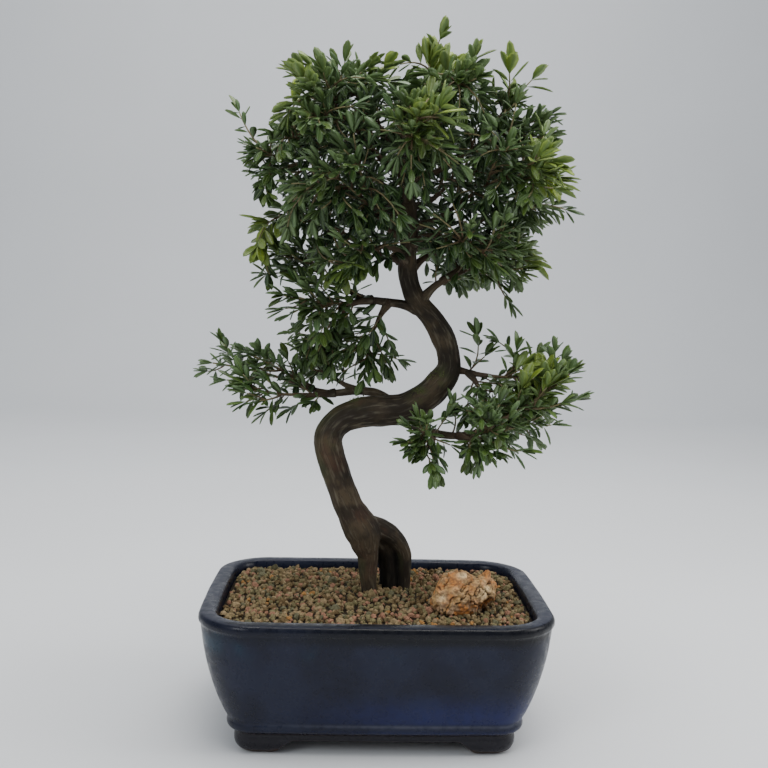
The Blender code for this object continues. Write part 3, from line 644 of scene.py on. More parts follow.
class Effects:
    """Node groups that the materials share, found by their names."""

    FLOAT = "NodeSocketFloat"
    VECTOR = "NodeSocketVector"

    def build(self) -> None:
        """Build each group once."""
        for make in (self.make_mottle, self.make_fibre, self.make_dust, self.make_veins):
            make()

    def make_mottle(self) -> None:
        """Patches: noise of a scale, mapped so that values under Low are 0 and over High are 1."""
        inputs = {
            "Vector": (self.VECTOR, None),
            "Scale": (self.FLOAT, 60.0),
            "Detail": (self.FLOAT, 4.0),
            "Low": (self.FLOAT, 0.4),
            "High": (self.FLOAT, 0.6),
        }
        graph, source, result = new_group("Mottle", inputs, {"Mask": self.FLOAT, "Raw": self.FLOAT})
        noise = graph.noise(**{key: source[key] for key in ("Vector", "Scale", "Detail")})
        graph.finish(result, {"Mask": graph.remap(noise, source["Low"], source["High"]), "Raw": noise})

    def make_fibre(self) -> None:
        """Long grain: noise read in a space that is already drawn out along the wood."""
        inputs = {"Vector": (self.VECTOR, None), "Scale": (self.FLOAT, 900.0)}
        graph, source, result = new_group("Fibre", inputs, {"Height": self.FLOAT, "Crack": self.FLOAT})
        fine = graph.noise(Vector=source["Vector"], Scale=source["Scale"], Detail=6.0)
        ridge = graph.math("ABSOLUTE", graph.math("SUBTRACT", fine, 0.5))
        graph.finish(result, {"Height": fine, "Crack": graph.remap(ridge, 0.0, 0.06, 1.0, 0.0)})

    def make_dust(self) -> None:
        """Dust: where a surface faces up, broken by noise."""
        inputs = {"Vector": (self.VECTOR, None), "Amount": (self.FLOAT, 0.3)}
        graph, source, result = new_group("Dust", inputs, {"Mask": self.FLOAT})
        upward = graph.parts(graph.add("ShaderNodeNewGeometry").outputs["Normal"])[2]
        noise = graph.noise(Vector=source["Vector"], Scale=240.0, Detail=5.0)
        mask = graph.product(graph.remap(upward, 0.2, 0.95), graph.remap(noise, 0.4, 0.7))
        graph.finish(result, {"Mask": graph.product(mask, source["Amount"])})

    def make_veins(self) -> None:
        """Midrib and side veins, from a blade vector of across (-1 to 1), along (0 to 1) and underside."""
        inputs = {"Blade": (self.VECTOR, None)}
        graph, source, result = new_group("Leaf veins", inputs, {"Midrib": self.FLOAT, "Side": self.FLOAT})
        across, along, _ = graph.parts(source["Blade"])
        off = graph.math("ABSOLUTE", across)
        slant = graph.math("SUBTRACT", graph.product(along, 9.0), graph.product(off, 1.6))
        wave = graph.math("ABSOLUTE", graph.math("SUBTRACT", graph.math("FRACT", slant), 0.5))
        midrib = graph.remap(off, 0.04, 0.16, 1.0, 0.0)
        graph.finish(result, {"Midrib": midrib, "Side": graph.remap(wave, 0.0, 0.12, 1.0, 0.0)})


def new_material(name: str, values: dict[str, Any]) -> tuple[bpy.types.Material, Graph, bpy.types.Node]:
    """Start a material on a Principled shader.

    Args:
        name: Name of the finish.
        values: Plain values of the shader's own sockets.

    Returns:
        The material, its graph and the shader node.
    """
    material = bpy.data.materials.new(name)
    material.use_nodes = True
    graph = Graph(material.node_tree)
    shader = material.node_tree.nodes["Principled BSDF"]
    for key, value in values.items():
        shader.inputs[key].default_value = value
    return material, graph, shader


# Finishes


@dataclass(frozen=True)
class GlazeFinish:
    """Dark blue glaze that pools, breaks grey at the edges and leaves the foot bare, with a painted highlight
    on the belt and lip edge and painted shade under the lip and on the foot band.
    """

    navy: Colour = (0.0036, 0.0052, 0.0160)
    slate: Colour = (0.0080, 0.0110, 0.0280)
    teal: Colour = (0.0080, 0.0320, 0.0560)
    royal: Colour = (0.0090, 0.0160, 0.1050)
    # grey where the glaze breaks, also used for the painted highlight on the belt and lip edge
    wear_and_highlight: Colour = (0.0620, 0.0660, 0.0920)
    clay: Colour = (0.0480, 0.0260, 0.0160)
    # painted shade: near black, for the shadow under the lip and the dark near top of the lip
    thick: Colour = (0.0010, 0.0011, 0.0022)
    # painted shade on the foot band below the belt
    foot_shade: Colour = (0.0110, 0.0095, 0.0120)

    def material(self) -> bpy.types.Material:
        """Build the glaze.

        Returns:
            The material.
        """
        material, graph, shader = new_material("blue glaze", {"Specular IOR Level": 0.30, "IOR": 1.45})
        place = graph.place()
        wide = graph.group("Mottle", place, Scale=28.0, Low=0.42, High=0.62)
        fine = graph.group("Mottle", place, Scale=210.0, Low=0.46, High=0.66)
        cool = graph.group("Mottle", place, Scale=17.0, Detail=3.0, Low=0.52, High=0.66)
        pooled = graph.product(graph.remap(fine[0], 0.0, 1.0, 0.45, 0.8), graph.attribute("pooled"))
        wear_and_highlight = graph.product(graph.attribute("wear_and_highlight"), graph.remap(fine[1], 0.3, 0.6, 0.45, 1.0))
        bare = graph.attribute("bare")
        colour = graph.layers(
            graph.mix(wide[0], self.navy, self.slate),
            (graph.product(cool[0], graph.attribute("teal")), self.teal),
            (pooled, self.royal),
            (graph.product(fine[0], 0.35), self.slate),
            # wear at the lip top, lip edge and foot, plus a painted highlight along the belt and the lip's
            # outer edge
            (wear_and_highlight, self.wear_and_highlight),
            (graph.group("Dust", place, Amount=0.05)[0], self.wear_and_highlight),
            # painted shade on the foot band
            (graph.attribute("foot"), self.foot_shade),
            # painted shade under the lip and on its near top
            (graph.attribute("gathered"), self.thick),
            (bare, self.clay),
        )
        rough = graph.math("ADD", graph.remap(fine[1], 0.3, 0.7, 0.22, 0.42), graph.product(wear_and_highlight, 0.22))
        rough = graph.math("MAXIMUM", rough, graph.product(bare, 0.9))
        normal = graph.bump(fine[1], 0.35, 0.0006)
        graph.finish(shader, {"Base Color": colour, "Roughness": rough, "Normal": normal})
        return material


@dataclass(frozen=True)
class SoilFinish:
    """Olive, tan and brown grit with some pink, orange and grey-green grains, over a bed painted dark as the
    shade between them.
    """

    tones: tuple[tuple[float, Colour], ...] = (
        (0.00, (0.070, 0.044, 0.022)),
        (0.10, (0.160, 0.108, 0.050)),
        (0.26, (0.260, 0.195, 0.098)),
        (0.42, (0.205, 0.175, 0.085)),
        (0.56, (0.330, 0.240, 0.130)),
        (0.70, (0.360, 0.185, 0.115)),
        (0.78, (0.155, 0.148, 0.085)),
        (0.85, (0.430, 0.215, 0.070)),
        (0.91, (0.370, 0.305, 0.190)),
        (0.96, (0.150, 0.175, 0.055)),
    )
    # painted shade: the bed's dark colours show in the gaps between the grains
    deep: Colour = (0.012, 0.008, 0.005)
    lighter_gap_shade: Colour = (0.040, 0.027, 0.015)
    shade: Colour = (0.045, 0.028, 0.015)

    def material(self, bed: bool) -> bpy.types.Material:
        """Build the finish.

        Args:
            bed: Whether it is the bed under the grains, painted dark as the shade between them.

        Returns:
            The material.
        """
        name = "soil bed" if bed else "soil grains"
        material, graph, shader = new_material(name, {"Roughness": 0.95, "Specular IOR Level": 0.2})
        fine = graph.group("Mottle", graph.place(), Scale=900.0, Low=0.3, High=0.7)
        if bed:
            colour = graph.mix(fine[0], self.deep, self.lighter_gap_shade)
        else:
            shade = graph.product(graph.remap(fine[1], 0.3, 0.7), 0.42)
            colour = graph.mix(shade, graph.ramp(graph.attribute("tone"), self.tones, steps=True), self.shade)
        graph.finish(shader, {"Base Color": colour, "Normal": graph.bump(fine[1], 0.8, 0.0005)})
        return material


@dataclass(frozen=True)
class StoneFinish:
    """Ochre and orange rock, cream where it is chipped, pinkish brown low down, with painted highlights on
    bright spots and painted shade in the creases and hollows.

    The pink fades out between two heights, in metres.
    """

    tan: Colour = (0.530, 0.320, 0.130)
    orange: Colour = (0.600, 0.240, 0.065)
    cream: Colour = (0.980, 0.740, 0.400)
    pink: Colour = (0.400, 0.220, 0.150)
    brown: Colour = (0.150, 0.085, 0.050)
    # painted shade in the creases and hollows
    dark: Colour = (0.030, 0.018, 0.012)
    pink_height: Pair = (0.077, 0.089)

    def material(self) -> bpy.types.Material:
        """Build the finish.

        Returns:
            The material.
        """
        values = {"Roughness": 0.72, "Specular IOR Level": 0.35}
        material, graph, shader = new_material("ochre stone", values)
        place = graph.place()
        wide = graph.group("Mottle", place, Scale=95.0, Low=0.46, High=0.56)
        pale = graph.group("Mottle", place, Scale=130.0, Detail=5.0, Low=0.50, High=0.60)
        fine = graph.group("Mottle", place, Scale=520.0, Low=0.40, High=0.62)
        low = graph.remap(graph.parts(place)[2], *self.pink_height, 0.9, 0.0)
        bright, red, hollow = graph.parts(graph.attribute("spots", "Vector"))
        # bright spots: cream chips and painted highlights
        chips = graph.math("MAXIMUM", graph.product(pale[0], 0.30), bright)
        # painted shade: creases and hollow spots mix toward dark
        crease = graph.math("MAXIMUM", graph.attribute("crease"), hollow)
        colour = graph.layers(
            graph.mix(wide[0], self.tan, self.orange),
            (graph.product(low, pale[0]), self.pink),
            (chips, self.cream),
            (red, self.orange),
            (graph.product(fine[0], 0.60), self.brown),
            (graph.product(crease, 0.88), self.dark),
        )
        graph.finish(shader, {"Base Color": colour, "Normal": graph.bump(fine[1], 0.8, 0.0008)})
        return material


@dataclass(frozen=True)
class BarkFinish:
    """Dull brown bark, redder in places, grey on its ridges, mossy at the knuckles, with painted shade in its
    cracks and hollow and a painted lighter olive tint on its lit side.
    """

    dark: Colour = (0.022, 0.016, 0.010)
    brown: Colour = (0.072, 0.052, 0.030)
    red: Colour = (0.085, 0.040, 0.024)
    grey: Colour = (0.150, 0.132, 0.088)
    moss: Colour = (0.052, 0.064, 0.020)
    young: Colour = (0.082, 0.055, 0.034)
    hollow_shade: Colour = (0.004, 0.003, 0.002)

    def material(self) -> bpy.types.Material:
        """Build the finish.

        Returns:
            The material.
        """
        material, graph, shader = new_material("bark", {"Specular IOR Level": 0.3})
        place = graph.place()
        fibre = graph.group("Fibre", graph.attribute("grain", "Vector"), Scale=520.0)
        wide = graph.group("Mottle", place, Scale=55.0, Low=0.4, High=0.62)
        reds = graph.group("Mottle", place, Scale=38.0, Detail=5.0, Low=0.5, High=0.68)
        colour = graph.layers(
            graph.mix(wide[0], self.dark, self.brown),
            (graph.product(reds[0], 0.55), self.red),
            (graph.remap(fibre[0], 0.52, 0.75, 0.0, 0.55), self.grey),
            # painted shade in the bark's cracks
            (graph.product(fibre[1], 0.5), self.dark),
            (graph.attribute("young"), self.young),
            # the moss mask also carries a painted lighter olive tint on the lit side
            (graph.attribute("moss"), self.moss),
            # painted shade in the hollow between the root legs
            (graph.attribute("hollow"), self.hollow_shade),
        )
        rough = graph.remap(fibre[0], 0.3, 0.7, 0.92, 0.7)
        normal = graph.bump(fibre[0], 0.7, 0.0009)
        graph.finish(shader, {"Base Color": colour, "Roughness": rough, "Normal": normal})
        return material


@dataclass(frozen=True)
class LeafFinish:
    """Glossy dark green leaves with a pale midrib; young ones are yellow-green and undersides pale; painted
    shade darkens them deep in the crown and low down.
    """

    # dark: painted shade deep inside and low in the crown
    dark: Colour = (0.007, 0.022, 0.008)
    middle: Colour = (0.044, 0.102, 0.022)
    bluish: Colour = (0.095, 0.165, 0.070)
    young: Colour = (0.300, 0.400, 0.040)
    under: Colour = (0.130, 0.200, 0.085)
    rib: Colour = (0.160, 0.240, 0.070)

    def material(self) -> bpy.types.Material:
        """Build the finish.

        Returns:
            The material.
        """
        values = {"Coat Roughness": 0.2, "Coat Weight": 0.12, "Specular IOR Level": 0.38}
        material, graph, shader = new_material("myrtle leaf", values)
        blade = graph.attribute("blade", "Vector")
        under = graph.parts(blade)[2]
        veins = graph.group("Leaf veins", blade)
        patches = graph.group("Mottle", graph.place(), Scale=420.0, Low=0.35, High=0.7)
        # the tone ramp runs from painted shade deep in the crown to the lit rim
        greens = ((0.0, self.dark), (0.5, self.middle), (1.0, self.bluish))
        colour = graph.layers(
            graph.ramp(graph.attribute("tone"), greens),
            (graph.attribute("youth"), self.young),
            (graph.product(patches[0], 0.22), self.dark),
            (graph.product(veins[1], 0.16), self.rib),
            (graph.product(veins[0], 0.6), self.rib),
            (graph.product(under, 0.7), self.under),
        )
        rough = graph.math("ADD", graph.remap(patches[1], 0.3, 0.7, 0.26, 0.38), graph.product(under, 0.25))
        height = graph.math("SUBTRACT", 1.0, graph.product(veins[1], 0.5))
        normal = graph.bump(height, 0.25, 0.0003)
        graph.finish(shader, {"Base Color": colour, "Roughness": rough, "Normal": normal})
        return material


@dataclass(frozen=True)
class TwigFinish:
    """Red-brown twigs that turn green toward their tips."""

    old: Colour = (0.120, 0.068, 0.036)
    fresh: Colour = (0.210, 0.190, 0.075)
    dark: Colour = (0.030, 0.018, 0.012)

    def material(self) -> bpy.types.Material:
        """Build the finish.

        Returns:
            The material.
        """
        material, graph, shader = new_material("myrtle twig", {"Roughness": 0.62})
        fine = graph.group("Mottle", graph.place(), Scale=700.0, Low=0.4, High=0.65)
        colour = graph.mix(graph.attribute("youth"), self.old, self.fresh)
        colour = graph.mix(graph.product(fine[0], 0.4), colour, self.dark)
        graph.finish(shader, {"Base Color": colour, "Normal": graph.bump(fine[1], 0.5, 0.0004)})
        return material


@dataclass(frozen=True)
class PlainFinish:
    """A finish of two close colours in patches, for moss, the mesh screens and the studio."""

    name: str
    first: Colour
    second: Colour
    roughness: float
    scale: float

    def material(self) -> bpy.types.Material:
        """Build the finish.

        Returns:
            The material.
        """
        material, graph, shader = new_material(self.name, {"Roughness": self.roughness})
        patches = graph.group("Mottle", graph.place(), Scale=self.scale, Low=0.3, High=0.7)
        graph.finish(shader, {"Base Color": graph.mix(patches[0], self.first, self.second)})
        return material


# Pot and drainage


@dataclass
class PotBody:
    """Cast pot: bulging walls, lip, belt, recessed band and four feet cut by ogee arches.

    Sections are half length, half depth, corner radius and height in mm, from the foot up the
    outside, over the lip and down the inside. Edges and pools are the height and the half width of
    a band of glaze, the belt's band being a painted highlight; a fade is the two heights, or the two
    places along x or y, between which a colour comes in or goes out.
    """

    sections: Rows = (
        (76, 56.6, 6.6, 0), (79.6, 60, 8.8, 2), (81.4, 61.8, 10.3, 5), (81.8, 62.2, 10.7, 8.4),
        (81, 61.4, 10, 11.8), (82.4, 62.6, 11.5, 13), (85.4, 65.2, 14, 14.6), (86.2, 65.8, 14.6, 17.4),
        (85.4, 65, 14.2, 19.8), (88, 66.8, 16.6, 23.8), (92.2, 69.6, 20.6, 32.2), (96.6, 72.8, 24.8, 45.2),
        (99.8, 75.2, 28, 58.2), (101.4, 76.2, 29.6, 70.2), (101.6, 76.3, 29.8, 72.6), (103, 77.5, 31, 74),
        (103, 77.5, 31, 76.8), (101.4, 75.9, 29.4, 79), (95, 69.5, 23.2, 79.2), (92.8, 67.2, 21, 77.8),
        (91.8, 66.2, 20, 74.2), (88.6, 63.2, 17.2, 51.2), (80.6, 56, 12, 28.2), (75, 50.6, 8, 20.6),
        (72, 47.6, 6, 20.2),
    )
    bow: float = 0.022
    recess: tuple[float, float, float, float] = (71.0, 51.2, 6.0, 10.4)
    arch_height: float = 9.1
    arch_below: float = 0.9
    front_arch: Pair = (62.0, 45.0)
    side_arch: Pair = (41.0, 25.0)
    drain_radius: float = 7.0
    drain_x: float = 38.0
    drain_length: float = 25.0
    unevenness: float = 0.10
    wave_length: float = 16.0
    wall_steps: tuple[int, int] = (12, 26)
    recess_steps: tuple[int, int] = (6, 8)
    sharp_angle: float = 38.0
    lip_fade: Pair = (76.0, 78.5)
    lip_edge: Pair = (79.0, 0.25)
    belt_highlight_band: Pair = (18.9, 0.8)
    belt_highlight_side: Pair = (-100.0, 20.0)
    foot_edge: Pair = (3.2, 1.3)
    foot_shade_fade: Pair = (15.5, 13.0)
    sole_fade: Pair = (1.5, 0.5)
    arch_fade: Pair = (14.0, 11.0)
    band_fades: Rows = ((12.2, 11.2), (72.6, 71.6), (52.8, 51.8))
    band_pool: Pair = (15.2, 1.6)
    wall_pool: Rows = ((44.0, 24.0), (18.7, 21.7), (-70.0, 40.0))
    teal_fades: Rows = ((56.0, 67.0), (30.0, -40.0), (73.5, 72.0))
    # painted shade: where the shadow under the lip and the dark near lip top fall
    rim_shade_fades: Rows = ((66.0, 71.5), (78.8, 78.3), (-130.0, 20.0))
    near_lip_shade: Rows = ((-67.5, -70.5), (78.6, 79.0))
    finish: GlazeFinish = field(default_factory=GlazeFinish)

    def profile(self, rounds: int = 3) -> Array:
        """Sections with their corners cut again and again.

        Each round puts two rows on every stretch, a quarter from either end, which rounds every
        corner and keeps both ends.

        Args:
            rounds: How often the corners are cut.

        Returns:
            Rows in metres.
        """
        rows = np.array(self.sections) * MM
        for _ in range(rounds):
            near = 0.75 * rows[:-1] + 0.25 * rows[1:]
            far = 0.25 * rows[:-1] + 0.75 * rows[1:]
            inner = np.stack([near, far], axis=1).reshape(-1, 4)
            rows = np.vstack([rows[:1], inner, rows[-1:]])
        return rows

    def arch(self, wide: float, narrow: float, reach: float, along_x: bool) -> bpy.types.Object:
        """Cutter with an ogee outline.

        The outline rises by half a cosine wave from the wide end to the narrow one, on both sides.

        Args:
            wide: Half width at the base, in mm.
            narrow: Half width at the top, in mm.
            reach: Half length of the cutter, in mm.
            along_x: Whether the opening's width lies along x.

        Returns:
            The cutter.
        """
        t = np.linspace(0.0, 1.0, 15)
        rise = (1.0 - np.cos(math.pi * t)) / 2.0 * (self.arch_height + self.arch_below) - self.arch_below
        left = np.stack([-wide + t * (wide - narrow), rise], axis=1)
        outline = np.vstack([left, (left * (-1.0, 1.0))[::-1]])
        ends = np.array((-reach, reach))[:, None]
        across = np.broadcast_to(outline[:, 0], (2, len(outline)))
        height = np.broadcast_to(outline[:, 1], (2, len(outline)))
        depth = np.broadcast_to(ends, (2, len(outline)))
        rings = np.stack([across, depth, height] if along_x else [-depth, across, height], axis=-1) * MM
        return build_object("arch", *skin(rings))

    def build(self) -> None:
        """Make the pot, cut its feet and dress it."""
        points, faces = skin(rounded_rings(self.profile(), *self.wall_steps, self.bow))
        outward = unit(points * (1.0, 1.0, 0.0))
        waves = layered_noise(points, self.wave_length * MM, 5, 2) * self.unevenness * MM
        points = points + outward * (waves * smoothstep(0.6 * MM, 4.0 * MM, points[:, 2]))[:, None]
        pot = build_object("glazed_pot", points, faces)
        half_x, half_y, radius, top = self.recess
        foot = np.array([(half_x, half_y, radius, -1.0), (half_x, half_y, radius, top)]) * MM
        cut(pot, build_object("recess", *skin(rounded_rings(foot, *self.recess_steps, self.bow))))
        cut(pot, self.arch(*self.front_arch, 100.0, True))
        cut(pot, self.arch(*self.side_arch, 120.0, False))
        for x in (-self.drain_x, self.drain_x):
            path = np.array([(x, 0.0, z, self.drain_radius) for z in (0.0, self.drain_length)]) * MM
            cut(pot, build_object("drain", *sweep(path, 32)))
        pot.data.set_sharp_from_angle(angle=math.radians(self.sharp_angle))
        self.mark(pot.data)
        dress(pot, Slot.GLAZE, [self.finish.material()], "pot")

    def mark(self, mesh: bpy.types.Mesh) -> None:
        """Store where the glaze wears grey and where a highlight is painted, where it is bare, pooled and
        teal, and where shade is painted at the rim and on the foot band.

        Args:
            mesh: The pot's mesh.
        """
        points = read_vertices(mesh) / MM
        x, y, z = points.T
        normals = read_vertices(mesh, "normal")
        outward = np.einsum("ij,ij->i", normals[:, :2], points[:, :2]) > 0.0
        level = np.hypot(normals[:, 0], normals[:, 1])

        def fades(rows: Rows, *axes: Array) -> Array:
            """Product of a fade along each axis."""
            return math.prod(smoothstep(*row, axis) for row, axis in zip(rows, axes))

        top = smoothstep(0.75, 0.98, normals[:, 2]) * smoothstep(*self.lip_fade, z)
        # lip edge line: partly glaze breaking grey, partly a painted highlight
        edge = bell(z, *self.lip_edge) * smoothstep(0.1, 0.4, level) * outward
        # painted highlight along the belt, fading in toward the right
        belt = bell(z, *self.belt_highlight_band) * smoothstep(*self.belt_highlight_side, x)
        wear_and_highlight = 0.20 * top + 0.7 * edge + 0.85 * belt + 0.15 * bell(z, *self.foot_edge)
        under = smoothstep(0.55, 0.85, -normals[:, 2]) * smoothstep(*self.arch_fade, z)
        band = fades(self.band_fades, z, np.abs(x), np.abs(y))
        heights, sides = self.wall_pool[:2], self.wall_pool[2]
        pooled = fades(heights, z, z) + 0.5 * bell(z, *self.band_pool)
        marks = {
            "wear_and_highlight": wear_and_highlight,
            "bare": under + band + smoothstep(*self.sole_fade, z),
            "pooled": np.clip(pooled, 0.0, 1.0) * smoothstep(*sides, x),
            "teal": fades(self.teal_fades, z, x, z),
            # painted shade under the lip, fading out to the left, and on the lip's near top
            "gathered": 0.85 * fades(self.rim_shade_fades, z, z, x) * outward + 0.75 * fades(self.near_lip_shade, y, z),
            # painted shade on the outer foot band below the belt
            "foot": 0.85 * smoothstep(*self.foot_shade_fade, z) * outward,
        }
        for name, values in marks.items():
            set_attribute(mesh, name, np.clip(values, 0.0, 1.0))


@dataclass
class DrainageScreens:
    """Black mesh over the two drainage holes, kept from the frame."""

    nodes: tuple[str, ...] = ("drainage_screen_left", "drainage_screen_right")
    finish: PlainFinish = PlainFinish(
        "screen plastic", (0.012, 0.012, 0.012), (0.03, 0.03, 0.03), 0.55, 400.0
    )

    def build(self) -> None:
        """Give the screens their finish."""
        material = self.finish.material()
        for name in self.nodes:
            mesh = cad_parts[name].data
            mesh.materials.clear()
            mesh.materials.append(material)
            LOG.info("%s: finish", name)


# Soil


@dataclass
class SoilBed:
    """Soil that fills the pot, highest at the trunk and sunk a little at the wall, with loose grains.

    Lengths are in mm. The pairs are ranges: of a grain's radius, of how far it stands out of the
    bed as a share of its radius, and of the stretch of its corners and of its three sides.
    """

    sections: Rows = (
        (72, 47.6, 6, 20.5), (80.6, 56, 12, 28.2), (88.6, 63.2, 17.2, 51.2), (91.6, 66, 19.9, 72.6),
    )
    wall_gap: float = 0.45
    wall_steps: tuple[int, int] = (8, 26)
    bow: float = 0.022
    edge: float = 74.4
    mound: float = 3.4
    mound_x: float = 4.0
    mound_width: float = 46.0
    wave: float = 0.7
    wave_length: float = 17.0
    dip: float = 1.6
    dip_width: float = 6.0
    under_grains: float = 0.9
    rings: int = 56
    pitch: float = 3.0
    grain_radius: Pair = (0.95, 2.25)
    grain_rise: Pair = (-0.05, 0.85)
    corner_stretch: Pair = (0.72, 1.18)
    side_stretch: Pair = (0.7, 1.15)
    large_share: float = 0.05
    large_growth: float = 0.5
    clearance: float = 0.6
    patch_share: float = 0.28
    patch_length: float = 14.0
    finish: SoilFinish = field(default_factory=SoilFinish)

    def wall_distance(self, plan: Array) -> Array:
        """Distance to the wall in mm: that of a rounded rectangle, positive inside.

        Args:
            plan: x and y in mm.

        Returns:
            One distance for each point.
        """
        half_x, half_y, radius, _ = self.sections[-1]
        past = np.abs(plan) - (half_x - radius, half_y - radius)
        outside = np.linalg.norm(np.maximum(past, 0.0), axis=1)
        return radius - outside - np.minimum(past.max(axis=1), 0.0)

    def height(self, plan: Array) -> Array:
        """Height of the surface: the edge level, a bell-shaped mound, low waves and a dip at the wall.

        Args:
            plan: x and y in mm.

        Returns:
            Height in mm for each point.
        """
        distance = np.hypot(plan[:, 0] - self.mound_x, plan[:, 1]) / self.mound_width
        flat = np.hstack([plan, np.zeros((len(plan), 1))])
        waves = self.wave * layered_noise(flat, self.wave_length, 3, 2)
        dip = self.dip * smoothstep(self.dip_width, 0.0, self.wall_distance(plan))
        return self.edge + self.mound * np.exp(-distance * distance) + waves - dip - self.under_grains

    def build(self) -> None:
        """Make the bed and its grains."""
        rows = np.array(self.sections)
        rows[:, :3] -= self.wall_gap
        walls = rounded_rings(rows * MM, *self.wall_steps, self.bow)
        share = (1.0 - np.arange(1, self.rings + 1) / (self.rings + 1))[:, None, None]
        plan = walls[-1][None, :, :2] * share
        height = self.height(plan.reshape(-1, 2) / MM).reshape(*plan.shape[:2], 1) * MM
        top = np.concatenate([plan, height], axis=2)
        bed = build_object("soil_bed", *skin(np.concatenate([walls, top])))
        dress(bed, Slot.SOIL, [self.finish.material(True)], "soil")
        self.scatter()

    def scatter(self) -> None:
        """Lay crushed grains over the bed.

        Grains stand on a jittered grid. Each is a twenty-sided solid whose corners are moved in
        and out at random, turned by a random unit quaternion and scaled.
        """
        rng = np.random.default_rng(SEED)
        half_x, half_y = self.sections[-1][:2]
        columns = np.arange(-half_x, half_x, self.pitch)
        lines = np.arange(-half_y, half_y, self.pitch)
        plan = np.stack(np.meshgrid(columns, lines), axis=-1).reshape(-1, 2)
        plan = plan + rng.uniform(-0.5, 0.5, plan.shape) * self.pitch
        radius = rng.uniform(*self.grain_radius, len(plan))
        radius = radius * (1.0 + self.large_growth * (rng.random(len(plan)) > 1.0 - self.large_share))
        keep = self.wall_distance(plan) > radius + self.clearance
        plan, radius = plan[keep], radius[keep]
        count = len(plan)
        height = self.height(plan) + radius * rng.uniform(*self.grain_rise, count)
        corners, faces = self.icosahedron()
        shape = corners[None] * rng.uniform(*self.corner_stretch, (count, len(corners), 1))
        shape = shape * rng.uniform(*self.side_stretch, (count, 1, 3))
        w, x, y, z = unit(rng.normal(size=(count, 4))).T
        spin = np.array([
            [1 - 2 * (y * y + z * z), 2 * (x * y - z * w), 2 * (x * z + y * w)],
            [2 * (x * y + z * w), 1 - 2 * (x * x + z * z), 2 * (y * z - x * w)],
            [2 * (x * z - y * w), 2 * (y * z + x * w), 1 - 2 * (x * x + y * y)],
        ])
        shape = np.einsum("ijn,nvj->nvi", spin, shape) * radius[:, None, None]
        points = (shape + np.column_stack([plan, height])[:, None]).reshape(-1, 3) * MM
        grains = build_object("soil_grains", points, [copies(faces, count, len(corners))], smooth=False)
        patch = 0.5 + 0.5 * layered_noise(np.column_stack([plan, np.zeros(count)]), self.patch_length, 21, 2)
        tone = (1.0 - self.patch_share) * rng.random(count) + self.patch_share * patch
        set_attribute(grains.data, "tone", np.repeat(np.clip(tone, 0.0, 0.999), len(corners)))
        dress(grains, Slot.SOIL, [self.finish.material(False)])

    @staticmethod
    def icosahedron() -> tuple[Array, Array]:
        """Corners and faces of a regular solid of twenty triangles.

        The corners are the cyclic turns of (0, +-1, +-golden ratio); the faces are the triples of
        corners that are all one edge length apart.

        Returns:
            Twelve unit corners, and twenty faces that point outward.
        """
        golden = (1.0 + math.sqrt(5.0)) / 2.0
        base = np.array([(0.0, a, b * golden) for a in (-1, 1) for b in (-1, 1)])
        corners = unit(np.vstack([np.roll(base, turn, axis=1) for turn in range(3)]))
        near = np.linalg.norm(corners[:, None] - corners[None], axis=2) < 1.2
        triples = itertools.combinations(range(len(corners)), 3)
        faces = np.array([(i, j, k) for i, j, k in triples if near[i, j] and near[j, k] and near[i, k]])
        a, b, c = (corners[faces[:, k]] for k in range(3))
        inward = np.einsum("ij,ij->i", np.cross(b - a, c - a), a) < 0.0
        faces[inward] = faces[inward][:, ::-1]
        return corners, faces


# Accent stone


